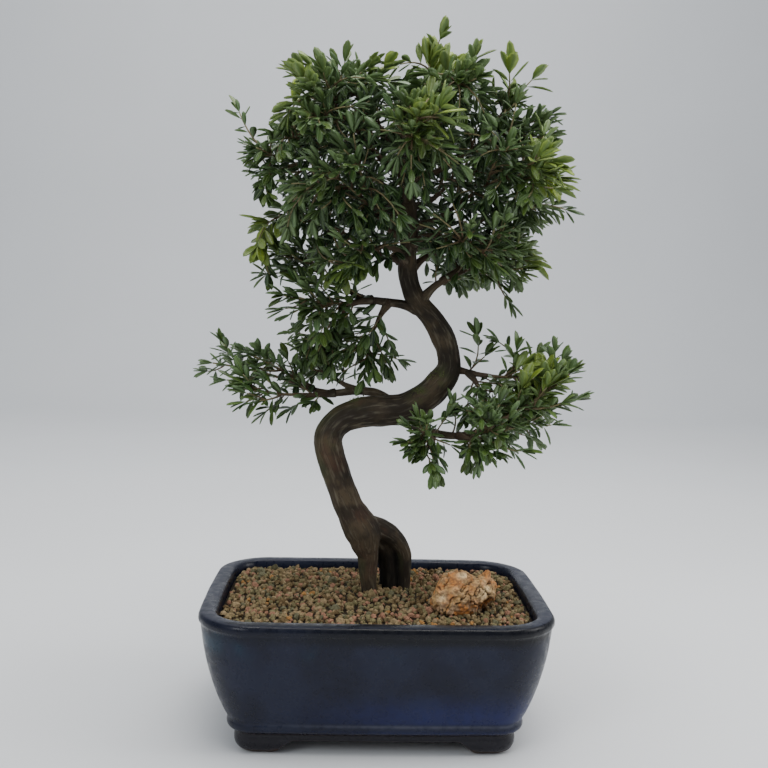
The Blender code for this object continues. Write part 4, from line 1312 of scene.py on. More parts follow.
@dataclass
class AccentStone:
    """Craggy rock: the frame's stone, refined, chipped flat in places and cracked.

    Crags, grit, cracks and hollows are the depth of each relief and the width of its noise cell in
    mm. Spots are a centre and a size in mm where the rock is bright (cream chips and painted highlights), red
    or hollow (dents with painted shade).
    """

    node: str = "accent_stone"
    weld: float = 0.05
    refining: int = 3
    sharp_angle: float = 32.0
    chips: int = 22
    chip_depth: Pair = (0.86, 0.99)
    chip_limit: float = 1.5
    crags: Pair = (1.5, 5.0)
    crag_level: float = 0.25
    grit: Pair = (0.6, 1.7)
    cracks: Pair = (1.5, 9.0)
    crack_width: float = 0.09
    crack_stretch: Place = (2.1, 1.0, 1.0)
    hollow_depth: float = 1.2
    # bright spots: cream chips, and painted highlights where the rock catches the light
    bright: Rows = (
        (61.2, -40, 87.3, 4.6), (64.5, -37, 90.5, 3.6), (32.4, -34, 98.5, 3.2), (49.8, -34, 97, 3.4),
        (38, -40, 86, 2.6),
    )
    red: Rows = ((66.6, -30.0, 99.5, 4.2), (54.0, -42.0, 91.0, 4.0), (43.0, -38.0, 93.0, 3.0))
    # hollow spots: dents painted with shade; the lowest is a painted shadow where the rock stands off the
    # soil
    hollow: Rows = (
        (57.2, -44, 79.3, 3.2), (41, -36, 97, 1.5), (40.1, -39, 92, 1.6), (40.5, -40, 87, 1.5),
    )
    finish: StoneFinish = field(default_factory=StoneFinish)

    def chipped(self, points: Array) -> Array:
        """Points pressed back to random flats.

        Each flat has a random direction and lies at a random share of the stone's reach that way.
        What stands past it goes back along the direction, down to the flat.

        Args:
            points: Places in metres.

        Returns:
            The new places.
        """
        rng = np.random.default_rng(SEED + 9)
        middle = (points.max(axis=0) + points.min(axis=0)) / 2.0
        local = points - middle
        ways = unit(rng.normal(size=(self.chips, 3)) * (1.0, 1.0, 0.8))
        for way, share in zip(ways, rng.uniform(*self.chip_depth, self.chips)):
            reach = local @ way
            past = np.maximum(reach - share * np.percentile(reach, 99.0), 0.0)
            local = local - np.minimum(past, self.chip_limit * MM)[:, None] * way
        return local + middle

    def build(self) -> None:
        """Refine a copy of the frame's stone.

        Each vertex moves along its normal by crags, one less twice the size of a noise, and by
        grit, less a crack wherever a stretched noise is close to zero.
        """
        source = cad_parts[self.node]
        stone = bpy.data.objects.new("ochre_rock", source.data.copy())
        bpy.context.scene.collection.objects.link(stone)
        stone.modifiers.new("Weld", "WELD").merge_threshold = self.weld * MM
        finer = stone.modifiers.new("Finer", "SUBSURF")
        finer.subdivision_type = "SIMPLE"
        finer.levels = finer.render_levels = self.refining
        soften(stone, 1)
        apply_modifiers(stone)
        points = self.chipped(read_vertices(stone.data))
        write_places(stone.data, points)
        normals = read_vertices(stone.data, "normal")
        lean = points @ np.array([(0.94, 0.0, 0.34), (0.0, 1.0, 0.0), (-0.34, 0.0, 0.94)])
        layers = np.abs(layered_noise(lean * self.crack_stretch, self.cracks[1] * MM, 31))
        crease = smoothstep(self.crack_width, 0.0, layers)
        crags = 1.0 - 2.0 * np.abs(layered_noise(points, self.crags[1] * MM, 41))
        grit = layered_noise(points, self.grit[1] * MM, 51)
        hollow = spot_field(points, self.hollow)
        lift = self.crags[0] * (crags - self.crag_level) + self.grit[0] * grit - self.cracks[0] * crease
        lift = lift - self.hollow_depth * hollow
        write_places(stone.data, points + normals * (lift * MM)[:, None])
        stone.data.polygons.foreach_set("use_smooth", np.ones(len(stone.data.polygons), bool))
        stone.data.set_sharp_from_angle(angle=math.radians(self.sharp_angle))
        # crease mask, stored for the painted shade in the cracks
        set_attribute(stone.data, "crease", crease)
        fields = [spot_field(points, self.bright), spot_field(points, self.red), hollow]
        set_attribute(stone.data, "spots", np.column_stack(fields))
        dress(stone, Slot.STONE, [self.finish.material()], self.node)


# Tree: each station is x, y, z and radius in mm

ROOT_END = 53.2
TRUNK: Rows = (
    (-4, 0, ROOT_END, 4.4), (-4, 0, 67.2, 4.4), (-4.2, 0, 80.2, 4.7), (-4.9, 0, 91.2, 5.5),
    (-5.2, 0, 100, 6.5), (-7, 0.5, 106.7, 8.9), (-8.8, 1, 113.7, 11), (-13, 1, 121.6, 10.5),
    (-17.5, 1.5, 129.7, 9), (-21.4, 2, 138.7, 8.5), (-26.7, 2, 152.2, 8.5), (-30.6, 1, 164.7, 8.8),
    (-31.3, 0, 171.7, 8.5), (-28.5, 0, 178.7, 8.4), (-22.5, -0.5, 184.2, 8.6), (-14.6, -1, 187.4, 9),
    (-6.1, -2, 189.5, 9.3), (5, -2.5, 190.2, 9.3), (15.1, -3, 191.8, 9.2), (27.1, -3, 198.9, 8.9),
    (36.1, -2, 207.6, 8.4), (41.5, 0, 216.7, 7.4), (40.4, 3, 227.6, 6.9), (37, 5, 236.2, 7.6),
    (31, 6, 246.2, 6.7), (22.5, 6, 255.4, 6.3), (15.9, 4, 267.4, 6), (14.1, 2, 283.5, 5.5),
    (15.5, 0, 298.2, 5), (13.8, 0, 314.4, 4.3), (10.9, 0, 332.1, 3.4), (9, 1, 350.2, 2.1),
    (8, 1, 360.2, 1.2),
)
ROOTS: tuple[Rows, ...] = (
    (
        (-10.5, 3, 116.8, 7.5), (-3, 4.5, 116.2, 7.4), (4.5, 6, 113.8, 6.6), (13, 8, 107.6, 5.2),
        (17.9, 9, 98.2, 4.4), (18.2, 10, 88.3, 3.9), (18.3, 11, 79, 3.9), (18.3, 11, ROOT_END, 3.6),
    ),
    (
        (-7, 6, 113.2, 7), (0, 10, 109.2, 7.2), (6, 13, 101, 7.2), (9, 14, 89.2, 6.9),
        (9.5, 14, 78.2, 6.8), (9.5, 14, ROOT_END, 6.2),
    ),
)
BRANCH_STEP = 17.0 * MM
TWIG_RADIUS = 1.1


@dataclass(frozen=True)
class SprayPlan:
    """One leafy stem: stations of its branch in mm, tip of its main twig, droop and fullness."""

    stations: Rows
    tip: Place
    droop: float
    full: float = 1.0


LOW_SPRAYS: dict[str, SprayPlan] = {
    "left_pad_spray_1": SprayPlan(
        ((8, 0, 193.2, 3.2), (-2, 7, 199.6, 2.8), (-14, 13, 200.4, 2.5), (-31, 20, 198.1, 2.1),
         (-47, 26, 200.9, 1.7), (-57, 30, 204.4, 1.2)), (-107, 39, 214.2), 0.10, 0.55),
    "left_pad_spray_2": SprayPlan(
        ((-28, 19, 198.4, 1.9), (-40, 12, 197.2, 1.6), (-50, 8, 197.8, 1.1)), (-83, 2, 201.2), 0.20, 0.4),
    "left_pad_spray_3": SprayPlan(
        ((-14, 13, 200.4, 1.9), (-23, 20, 204.2, 1.5), (-29, 25, 207.7, 1.1)), (-44, 44, 217.2), 0.15, 0.7),
    "left_pad_spray_4": SprayPlan(
        ((-42, 24, 200, 1.7), (-50, 20, 204.7, 1.4), (-55, 17, 208.2, 1.1)), (-78, 16, 220.2), 0.10, 0.45),
    "mid_spray_1": SprayPlan(
        ((26, 6, 251.2, 3.4), (12, 6, 254.7, 2.8), (0.5, 8, 256.1, 2.4), (-11, 11, 257.8, 2),
         (-22, 14, 263.2, 1.6), (-31, 16, 268.2, 1.2)), (-60, 20, 284.2), 0.15),
    "mid_spray_2": SprayPlan(
        ((-6, 10, 257.2, 2), (-16, 5, 255.2, 1.6), (-24, 0, 254.2, 1.1)), (-50, -10, 257.2), 0.35),
    "mid_spray_3": SprayPlan(
        ((-11, 11, 257.8, 1.9), (-20, 14, 253.2, 1.5), (-26, 17, 246.7, 1.1)), (-40, 24, 224.2), 0.45),
    "mid_spray_4": SprayPlan(
        ((4, 7.5, 255.8, 2), (-1, 11, 247.2, 1.5), (-4, 13, 239.7, 1.1)), (-9, 15, 216.2), 0.45),
    "right_pad_spray_1": SprayPlan(
        ((15, -3, 189.7, 3.2), (21.5, -7.5, 182, 2.9), (32, -14, 178.4, 2.5), (46, -21, 178, 2.1),
         (59, -26, 181.6, 1.7), (69, -29, 188.2, 1.2)), (107, -39, 217.2), 0.05, 0.85),
    "right_pad_spray_2": SprayPlan(
        ((59, -26, 181.6, 1.8), (66, -22, 181.6, 1.4), (72, -19, 182, 1.1)), (95, -12, 191.2), 0.30),
    "right_pad_spray_3": SprayPlan(
        ((46, -21, 178, 1.8), (50, -29, 177.2, 1.4), (53, -35, 178.2, 1.1)), (61, -56, 189.2), 0.40, 0.8),
    "right_pad_spray_4": SprayPlan(
        ((32, -14, 178.4, 1.8), (32, -21, 177.6, 1.4), (30.5, -27, 177.6, 1.1)), (20, -44, 175), 0.25, 0.45),
    "right_pad_spray_5": SprayPlan(
        ((40, 1, 216.7, 3), (49.5, -1, 215.2, 2), (58, -4, 213.6, 1.6), (66, -7, 213, 1.2)),
        (92, -10, 214.2), 0.20, 0.8),
    "right_pad_spray_6": SprayPlan(
        ((53, -2, 214.6, 1.7), (57, -5, 209.5, 1.4), (59.5, -8, 205, 1.1)), (67, -14, 190), 0.30),
    "right_low_spray_1": SprayPlan(
        ((22, 5, 255.7, 3), (31, 2, 265.7, 2.3), (40.4, 0, 272, 1.8), (49, -2, 275.7, 1.2)),
        (80, -6, 276.2), 0.35),
    "right_low_spray_2": SprayPlan(
        ((36, 1, 269.4, 1.9), (45, 8, 276.2, 1.5), (53, 14, 282.2, 1.1)), (88, 32, 295.2), 0.25),
    "under_crown_spray_1": SprayPlan(
        ((15, 2, 278.2, 2.6), (8, -8, 286.2, 2), (0, -16, 288.2, 1.5), (-6, -22, 286.2, 1.1)),
        (-24, -44, 273.2), 0.45, 0.6),
    "under_crown_spray_2": SprayPlan(
        ((15.5, 4, 275.2, 2.6), (26, 12, 284.2, 2), (33, 18, 287.2, 1.5), (38, 23, 285.2, 1.1)),
        (52, 48, 272.2), 0.45, 0.6),
    "under_crown_spray_3": SprayPlan(
        ((14.5, 1, 289.2, 2.4), (24, -8, 295.2, 1.8), (33, -16, 295.2, 1.1)), (56, -40, 283.2), 0.40, 0.7),
}


@dataclass(frozen=True)
class CrownPlan:
    """Crown: branches leave the leader in a spiral and their tips lie on an ellipsoid (mm).

    From the top spray down to the lowest, the droop grows and the fullness shrinks.
    """

    sprays: int = 15
    centre: Place = (12.0, 0.0, 335.2)
    half: Place = (88.0, 69.0, 62.0)
    lowest: float = -0.42
    first_turn: float = 0.5
    first_share: float = 0.35
    twig_start: float = 0.46
    leader: Pair = (279.2, 353.2)
    radii: Place = (2.4, 1.8, TWIG_RADIUS)
    sag: float = 3.0
    droop: Pair = (0.12, 0.25)
    thinning: float = 0.5

    def sprays_of(self) -> dict[str, SprayPlan]:
        """Plan of every spray of the crown.

        The tips go from the top down; each turns on by the golden angle.

        Returns:
            Plans by name.
        """
        plans = {}
        leader = smooth_path(TRUNK, 4.0 * MM)
        for number in range(self.sprays):
            share = (number + self.first_share) / self.sprays
            upward = 1.0 - share * (1.0 - self.lowest)
            outward = math.sqrt(max(0.0, 1.0 - upward * upward))
            turn = self.first_turn + number * GOLDEN_ANGLE
            way = Vector((outward * math.cos(turn), outward * math.sin(turn), upward))
            tip = Vector([c + w * h for c, w, h in zip(self.centre, way, self.half)])
            height = (self.leader[0] + (1.0 - share) * (self.leader[1] - self.leader[0])) * MM
            start = Vector(leader[np.argmin(np.abs(leader[:, 2] - height))][:3]) / MM
            end = start.lerp(tip, self.twig_start)
            knee = start.lerp(end, 0.5) + Vector((0.0, 0.0, -self.sag))
            stations = [(*point, radius) for point, radius in zip((start, knee, end), self.radii)]
            droop = self.droop[0] + self.droop[1] * share
            full = 1.0 - self.thinning * share**3
            plans[f"crown_spray_{number + 1:02d}"] = SprayPlan(stations, tuple(tip), droop, full)
        return plans


@dataclass
class Wood:
    """Trunk, root legs and branches, grown as one piece; lengths are in mm.

    Ridges, lumps, flakes and the wander of a branch are a height and the width of a noise cell. The
    flare widens a branch at its foot, by a share of its radius and over a length. The bark's relief
    and the young colour fade between two radii of the wood, the painted shade of the dark hollow
    between two places along y, x and z.
    """

    plans: dict[str, SprayPlan]
    voxel: float = 0.76
    softening: int = 6
    trunk_step: float = 1.6
    branch_step: float = 1.5
    sides: tuple[int, int] = (30, 12)
    flare: Pair = (0.55, 7.0)
    wander: Pair = (0.25, 7.0)
    wander_fade: float = 6.0
    grain_stretch: float = 0.16
    ridges: Pair = (0.34, 2.6)
    ridge_power: float = 0.8
    lumps: Pair = (0.55, 11.0)
    flakes: Pair = (0.14, 1.3)
    sink: float = 0.15
    knuckle_height: float = 0.9
    relief_fade: Pair = (1.2, 6.0)
    young_fade: Pair = (2.8, 1.2)
    flake_squeeze: float = 2.2
    lit_side_share: float = 0.45
    young_share: float = 0.75
    hollow_share: float = 0.92
    hollow_fades: Rows = ((4.0, 9.0), (19.0, 14.0), (112.0, 104.0))
    moss_patch: float = 4.0
    moss_cover: float = 0.55
    lit_side_patch: float = 19.0
    tuft_height: Pair = (0.7, 1.7)
    tuft_width: Pair = (0.22, 0.42)
    knuckles: Rows = (
        (-14, -1, 193.2, 6), (34, -6, 209.2, 7), (24, -8, 200.2, 6), (-28, -6, 171.2, 5),
    )
    finish: BarkFinish = field(default_factory=BarkFinish)
    moss_finish: PlainFinish = PlainFinish("moss", (0.045, 0.070, 0.012), (0.130, 0.150, 0.030), 0.95, 900.0)

    def trunk_paths(self) -> list[Array]:
        """Rows of the trunk and of its root legs, in metres."""
        return [smooth_path(stations, self.trunk_step * MM) for stations in (TRUNK, *ROOTS)]

    def branch(self, plan: SprayPlan) -> Array:
        """Path of one branch, wider where it leaves the wood that carries it.

        Args:
            plan: Plan of its spray.

        Returns:
            Rows of x, y, z and radius in metres.
        """
        path = smooth_path(plan.stations, self.branch_step * MM)
        travelled = np.arange(len(path)) * self.branch_step
        path[:, 3] *= 1.0 + self.flare[0] * bell(travelled, 0.0, self.flare[1])
        wander = layered_noise(path[:, :3], self.wander[1] * MM, 61, 2) * self.wander[0] * MM
        fade = smoothstep(0.0, self.wander_fade, travelled)
        path[:, 2] += wander * fade * fade[::-1]
        return path

    def grain(self, points: Array) -> tuple[Array, Array]:
        """Place of each point in a space drawn out along the wood.

        Each point takes the nearest sample of the centre lines. Its angle round the line becomes a
        point on a circle of the line's radius, and its distance along the line is shortened. The
        points are compared some thousands at a time, to save memory.

        Args:
            points: Places in metres.

        Returns:
            The drawn-out places, and the radius of the wood at each.
        """
        paths = self.trunk_paths() + [self.branch(plan) for plan in self.plans.values()]
        rows = np.vstack(paths)
        axes = [np.vstack(group) for group in zip(*(path_axes(path) for path in paths))]
        along = np.concatenate([np.arange(len(path)) * self.trunk_step * MM for path in paths])
        nearest = np.concatenate([
            np.argmin(np.linalg.norm(chunk[:, None] - rows[None, :, :3], axis=2) - rows[None, :, 3], axis=1)
            for chunk in np.array_split(points, max(1, len(points) // 3000))
        ])
        ways, side, up = (axis[nearest] for axis in axes)
        offset = points - rows[nearest, :3]
        angle = np.arctan2(np.einsum("ij,ij->i", offset, up), np.einsum("ij,ij->i", offset, side))
        radius = rows[nearest, 3]
        distance = along[nearest] + np.einsum("ij,ij->i", offset, ways)
        drawn = (np.cos(angle) * radius, np.sin(angle) * radius, distance * self.grain_stretch)
        return np.stack(drawn, axis=1), radius

    def relief(self, mesh: bpy.types.Mesh) -> None:
        """Raise bark ridges and lumps, and store what the finish reads.

        A vertex moves along its normal by long ridges, which are one less twice the size of a
        drawn-out noise, and by round lumps, both less on thin wood.

        Args:
            mesh: The mesh of the wood.
        """
        points = read_vertices(mesh)
        normals = read_vertices(mesh, "normal")
        grain, radius = self.grain(points)
        weight = smoothstep(self.relief_fade[0] * MM, self.relief_fade[1] * MM, radius)
        ridges = 1.0 - 2.0 * np.abs(layered_noise(grain, self.ridges[1] * MM, 71, 3)) ** self.ridge_power
        lumps = layered_noise(points, self.lumps[1] * MM, 81, 2)
        flakes = layered_noise(grain * (1.0, 1.0, self.flake_squeeze), self.flakes[1] * MM, 91, 2)
        lift = (self.ridges[0] * ridges + self.lumps[0] * lumps + self.flakes[0] * flakes) * weight
        knots = spot_field(points, self.knuckles)
        lift = lift - self.sink * weight + knots * self.knuckle_height
        write_places(mesh, points + normals * (lift * MM)[:, None])
        patch = smoothstep(-0.25, 0.35, layered_noise(points, self.moss_patch * MM, 101, 2))
        moss = knots * patch * smoothstep(-0.4, 0.5, normals[:, 2])
        # painted light: a lighter olive tint in patches on the side facing -x, toward the light
        shade = smoothstep(0.15, 0.55, layered_noise(points, self.lit_side_patch * MM, 111, 2))
        shade = shade * smoothstep(0.0, -0.6, normals[:, 0]) * self.lit_side_share
        # painted shade in the dark hollow between the root legs
        y, x, z = self.hollow_fades
        hollow = smoothstep(*y, points[:, 1] / MM) * smoothstep(*x, points[:, 0] / MM)
        hollow = self.hollow_share * hollow * smoothstep(*z, points[:, 2] / MM) * (normals[:, 1] < 0.3)
        young = smoothstep(self.young_fade[0] * MM, self.young_fade[1] * MM, radius) * self.young_share
        set_attribute(mesh, "grain", grain)
        # holds the real moss and the painted lit-side tint
        set_attribute(mesh, "moss", np.clip(moss + shade * weight, 0.0, 0.9))
        set_attribute(mesh, "young", young)
        set_attribute(mesh, "hollow", hollow)

    def build(self) -> None:
        """Make the wood and its moss."""
        tubes = [sweep(path, self.sides[0]) for path in self.trunk_paths()]
        wood = build_object("trunk_and_branches", *joined(tubes))
        remesh = wood.modifiers.new("One skin", "REMESH")
        remesh.mode = "VOXEL"
        remesh.voxel_size = self.voxel * MM
        soften(wood, self.softening)
        apply_modifiers(wood)
        thick = (read_vertices(wood.data), self.faces_of(wood.data))
        bpy.data.objects.remove(wood, do_unlink=True)
        thin = [sweep(self.branch(plan), self.sides[1]) for plan in self.plans.values()]
        wood = build_object("trunk_and_branches", *joined([thick, *thin]))
        self.relief(wood.data)
        dress(wood, Slot.BARK, [self.finish.material()], "trunk")
        self.grow_moss(wood.data)

    @staticmethod
    def faces_of(mesh: bpy.types.Mesh) -> list[Array]:
        """Faces of a mesh in groups of one size.

        Args:
            mesh: A mesh of triangles and quads.

        Returns:
            The groups.
        """
        sizes = np.empty(len(mesh.polygons), np.int32)
        starts = np.empty(len(mesh.polygons), np.int32)
        corners = np.empty(len(mesh.loops), np.int32)
        mesh.polygons.foreach_get("loop_total", sizes)
        mesh.polygons.foreach_get("loop_start", starts)
        mesh.loops.foreach_get("vertex_index", corners)
        return [corners[starts[sizes == n][:, None] + np.arange(n)] for n in np.unique(sizes)]

    def grow_moss(self, mesh: bpy.types.Mesh) -> None:
        """Small pointed tufts of moss on the knuckles.

        A tuft is a three-sided spike that stands on a vertex, along its normal with some lean.

        Args:
            mesh: The mesh of the wood.
        """
        rng = np.random.default_rng(SEED + 1)
        points = read_vertices(mesh)
        normals = read_vertices(mesh, "normal")
        cover = spot_field(points, self.knuckles) * smoothstep(-0.3, 0.6, normals[:, 2])
        chosen = np.flatnonzero(rng.random(len(points)) < self.moss_cover * smoothstep(0.25, 0.9, cover))
        count = len(chosen)
        root = points[chosen] - normals[chosen] * 0.25 * MM
        way = unit(normals[chosen] + rng.normal(0.0, 0.35, (count, 3)))
        side = unit(np.cross(way, rng.normal(size=(count, 3))))
        up = np.cross(way, side)
        height = rng.uniform(*self.tuft_height, (count, 1)) * MM
        wide = rng.uniform(*self.tuft_width, (count, 1)) * MM
        turns = np.arange(3) * math.tau / 3.0
        base = [root + wide * (math.cos(a) * side + math.sin(a) * up) for a in turns]
        tufts = np.stack([*base, root + way * height], axis=1).reshape(-1, 3)
        corners = np.array([(0, 1, 3), (1, 2, 3), (2, 0, 3), (0, 2, 1)])
        moss = build_object("moss_tufts", tufts, [copies(corners, count, 4)])
        dress(moss, Slot.BARK, [self.moss_finish.material()])


# Leafy stems


@dataclass(frozen=True)
class LeafBlade:
    """Lance-shaped blade of a few dozen faces, on a unit length and width.

    A section has six points: two edges, a bulge on either side of the midrib groove and a keel. The
    height is full where the half width times full_height is 1 or more.
    """

    along: tuple[float, ...] = (0.12, 0.36, 0.64, 0.89)
    half_width: tuple[float, ...] = (0.10, 0.39, 0.50, 0.32)
    across: tuple[float, ...] = (-1.0, -0.5, 0.0, 0.5, 1.0, 0.0)
    height: tuple[float, ...] = (0.0, 0.55, 0.10, 0.55, 0.0, -0.75)
    underside: tuple[float, ...] = (0.35, 0.0, 0.0, 0.0, 0.35, 1.0)
    end_underside: float = 0.3
    full_height: float = 3.5
    thickness: float = 0.42 * MM

    def shape(self) -> tuple[Array, list[Array], Array]:
        """Points, faces and blade vector of the template.

        Returns:
            Points as across, along and height; the faces; and across, along and underside.
        """
        sections = len(self.along)
        along = np.repeat(self.along, 6)
        across = np.tile(self.across, sections)
        half = np.repeat(self.half_width, 6)
        height = np.tile(self.height, sections) * np.minimum(1.0, half * self.full_height)
        points = np.column_stack([across * half, along, height])
        points = np.vstack([points, (0.0, 0.0, 0.0), (0.0, 1.0, 0.0)])
        under = np.tile(self.underside, sections)
        ends = [(0.0, 0.0, self.end_underside), (0.0, 1.0, self.end_underside)]
        blade = np.vstack([np.column_stack([across, along, under]), *ends])
        grid = np.arange(sections * 6).reshape(sections, 6)
        faces = [np.roll(group, -1, axis=1) for group in (ring_quads(grid), end_fans(grid))]
        return points, faces, blade


@dataclass
class Leaves:
    """Rows of the leaves of one spray, gathered before they are made, and its random numbers."""

    draw: random.Random
    fold: float = 0.30
    rows: list[list[float]] = field(default_factory=list)

    def add(self, root: Vector, way: Vector, face: Vector, *numbers: float) -> None:
        """Note one leaf.

        Args:
            root: Where it leaves its twig.
            way: Direction of the blade.
            face: Side that its upper face looks to.
            *numbers: Length and width in metres, rise of the tip as a share of the length, place on
                the scale of greens and share of young leaf.
        """
        self.rows.append([*root, *way, *face, *numbers])

    def meshes(self, blade: LeafBlade) -> tuple[Shape, dict[str, Array]]:
        """All the leaves as one shape.

        A template point goes to root + side * across * width + way * along * length + up * height,
        where height is the blade's own, plus a fold that grows toward the edges, plus the curl
        times the square of the place along the blade.

        Args:
            blade: The template.

        Returns:
            The shape, and the attributes of its points.
        """
        rows = np.array(self.rows)
        points, faces, vector = blade.shape()
        root, face = rows[:, 0:3], rows[:, 6:9]
        way = unit(rows[:, 3:6])
        side = unit(np.cross(way, face))
        up = np.cross(side, way)
        length, width, curl = (rows[:, k, None] for k in (9, 10, 11))
        across, along, height = points.T
        fold = self.fold * np.abs(across) * width
        rise = height * blade.thickness + fold + curl * length * along**2
        places = root[:, None] + side[:, None] * (across * width)[..., None]
        places = places + way[:, None] * (along * length)[..., None] + up[:, None] * rise[..., None]
        groups = [copies(group, len(rows), len(points)) for group in faces]
        attributes = {
            "blade": np.tile(vector, (len(rows), 1)),
            "tone": np.repeat(rows[:, 12], len(points)),
            "youth": np.repeat(rows[:, 13], len(points)),
        }
        return (places.reshape(-1, 3), groups), attributes


@dataclass(frozen=True)
class Dome:
    """Outline of the crown in mm: a superellipsoid, filled by shoots that end between two shells.

    A shoot starts within reach of its tip and is at least the least length; shoots of the sprays
    themselves are trimmed outside the trim share.
    """

    centre: Place = (13.0, 0.0, 331.0)
    half: Place = (86.0, 67.0, 63.0)
    power: float = 2.5
    inner: float = 0.48
    jitter: float = 0.42
    lowest: float = 286.0
    pitch: float = 16.0
    reach: float = 55.0
    least: float = 11.0
    trim: float = 1.08
    carriers: tuple[str, ...] = ("crown", "under", "right_low")
    strays: tuple[Place, ...] = (
        (-74, -8, 320), (-75, -5, 288), (-88, 0, 366), (-70, 5, 272), (70, -15, 390),
        (84, -10, 388), (30, 0, 412), (86, -20, 345), (108, -5, 314), (98, -10, 333),
        (-32, 0, 389), (-16, -6, 390), (34, -62, 352), (20, -60, 365), (-38, -58, 350),
        (-60, 52, 352), (70, 58, 340), (8, 74, 366), (-30, 66, 318), (40, 68, 300),
        (-3, -6, 393), (7, 4, 398), (-12, 4, 395), (0, 14, 390), (-6, -16, 384),
    )

    def share(self, places: Array) -> Array:
        """Radius of the superellipsoid through each place, 1 on the outline; places are in mm."""
        local = np.abs((places - np.array(self.centre)) / self.half)
        return (local**self.power).sum(axis=-1) ** (1.0 / self.power)

    def targets(self) -> Array:
        """Tips of the infill shoots.

        They stand on a jittered grid between an inner and an outer superellipsoid, whose radius
        is the root of the summed powers of x, y and z over the half sizes, and at the strays.

        Returns:
            Places in metres.
        """
        half = np.array(self.half)
        axes = [np.arange(-size, size + self.pitch, self.pitch) for size in half]
        grid = np.stack(np.meshgrid(*axes, indexing="ij"), axis=-1).reshape(-1, 3)
        rng = np.random.default_rng(SEED + 5)
        grid = grid + rng.uniform(-self.jitter, self.jitter, grid.shape) * self.pitch
        places = grid + self.centre
        share = self.share(places)
        places = places[(share < 1.0) & (share > self.inner)]
        return np.vstack([places[places[:, 2] > self.lowest], self.strays]) * MM


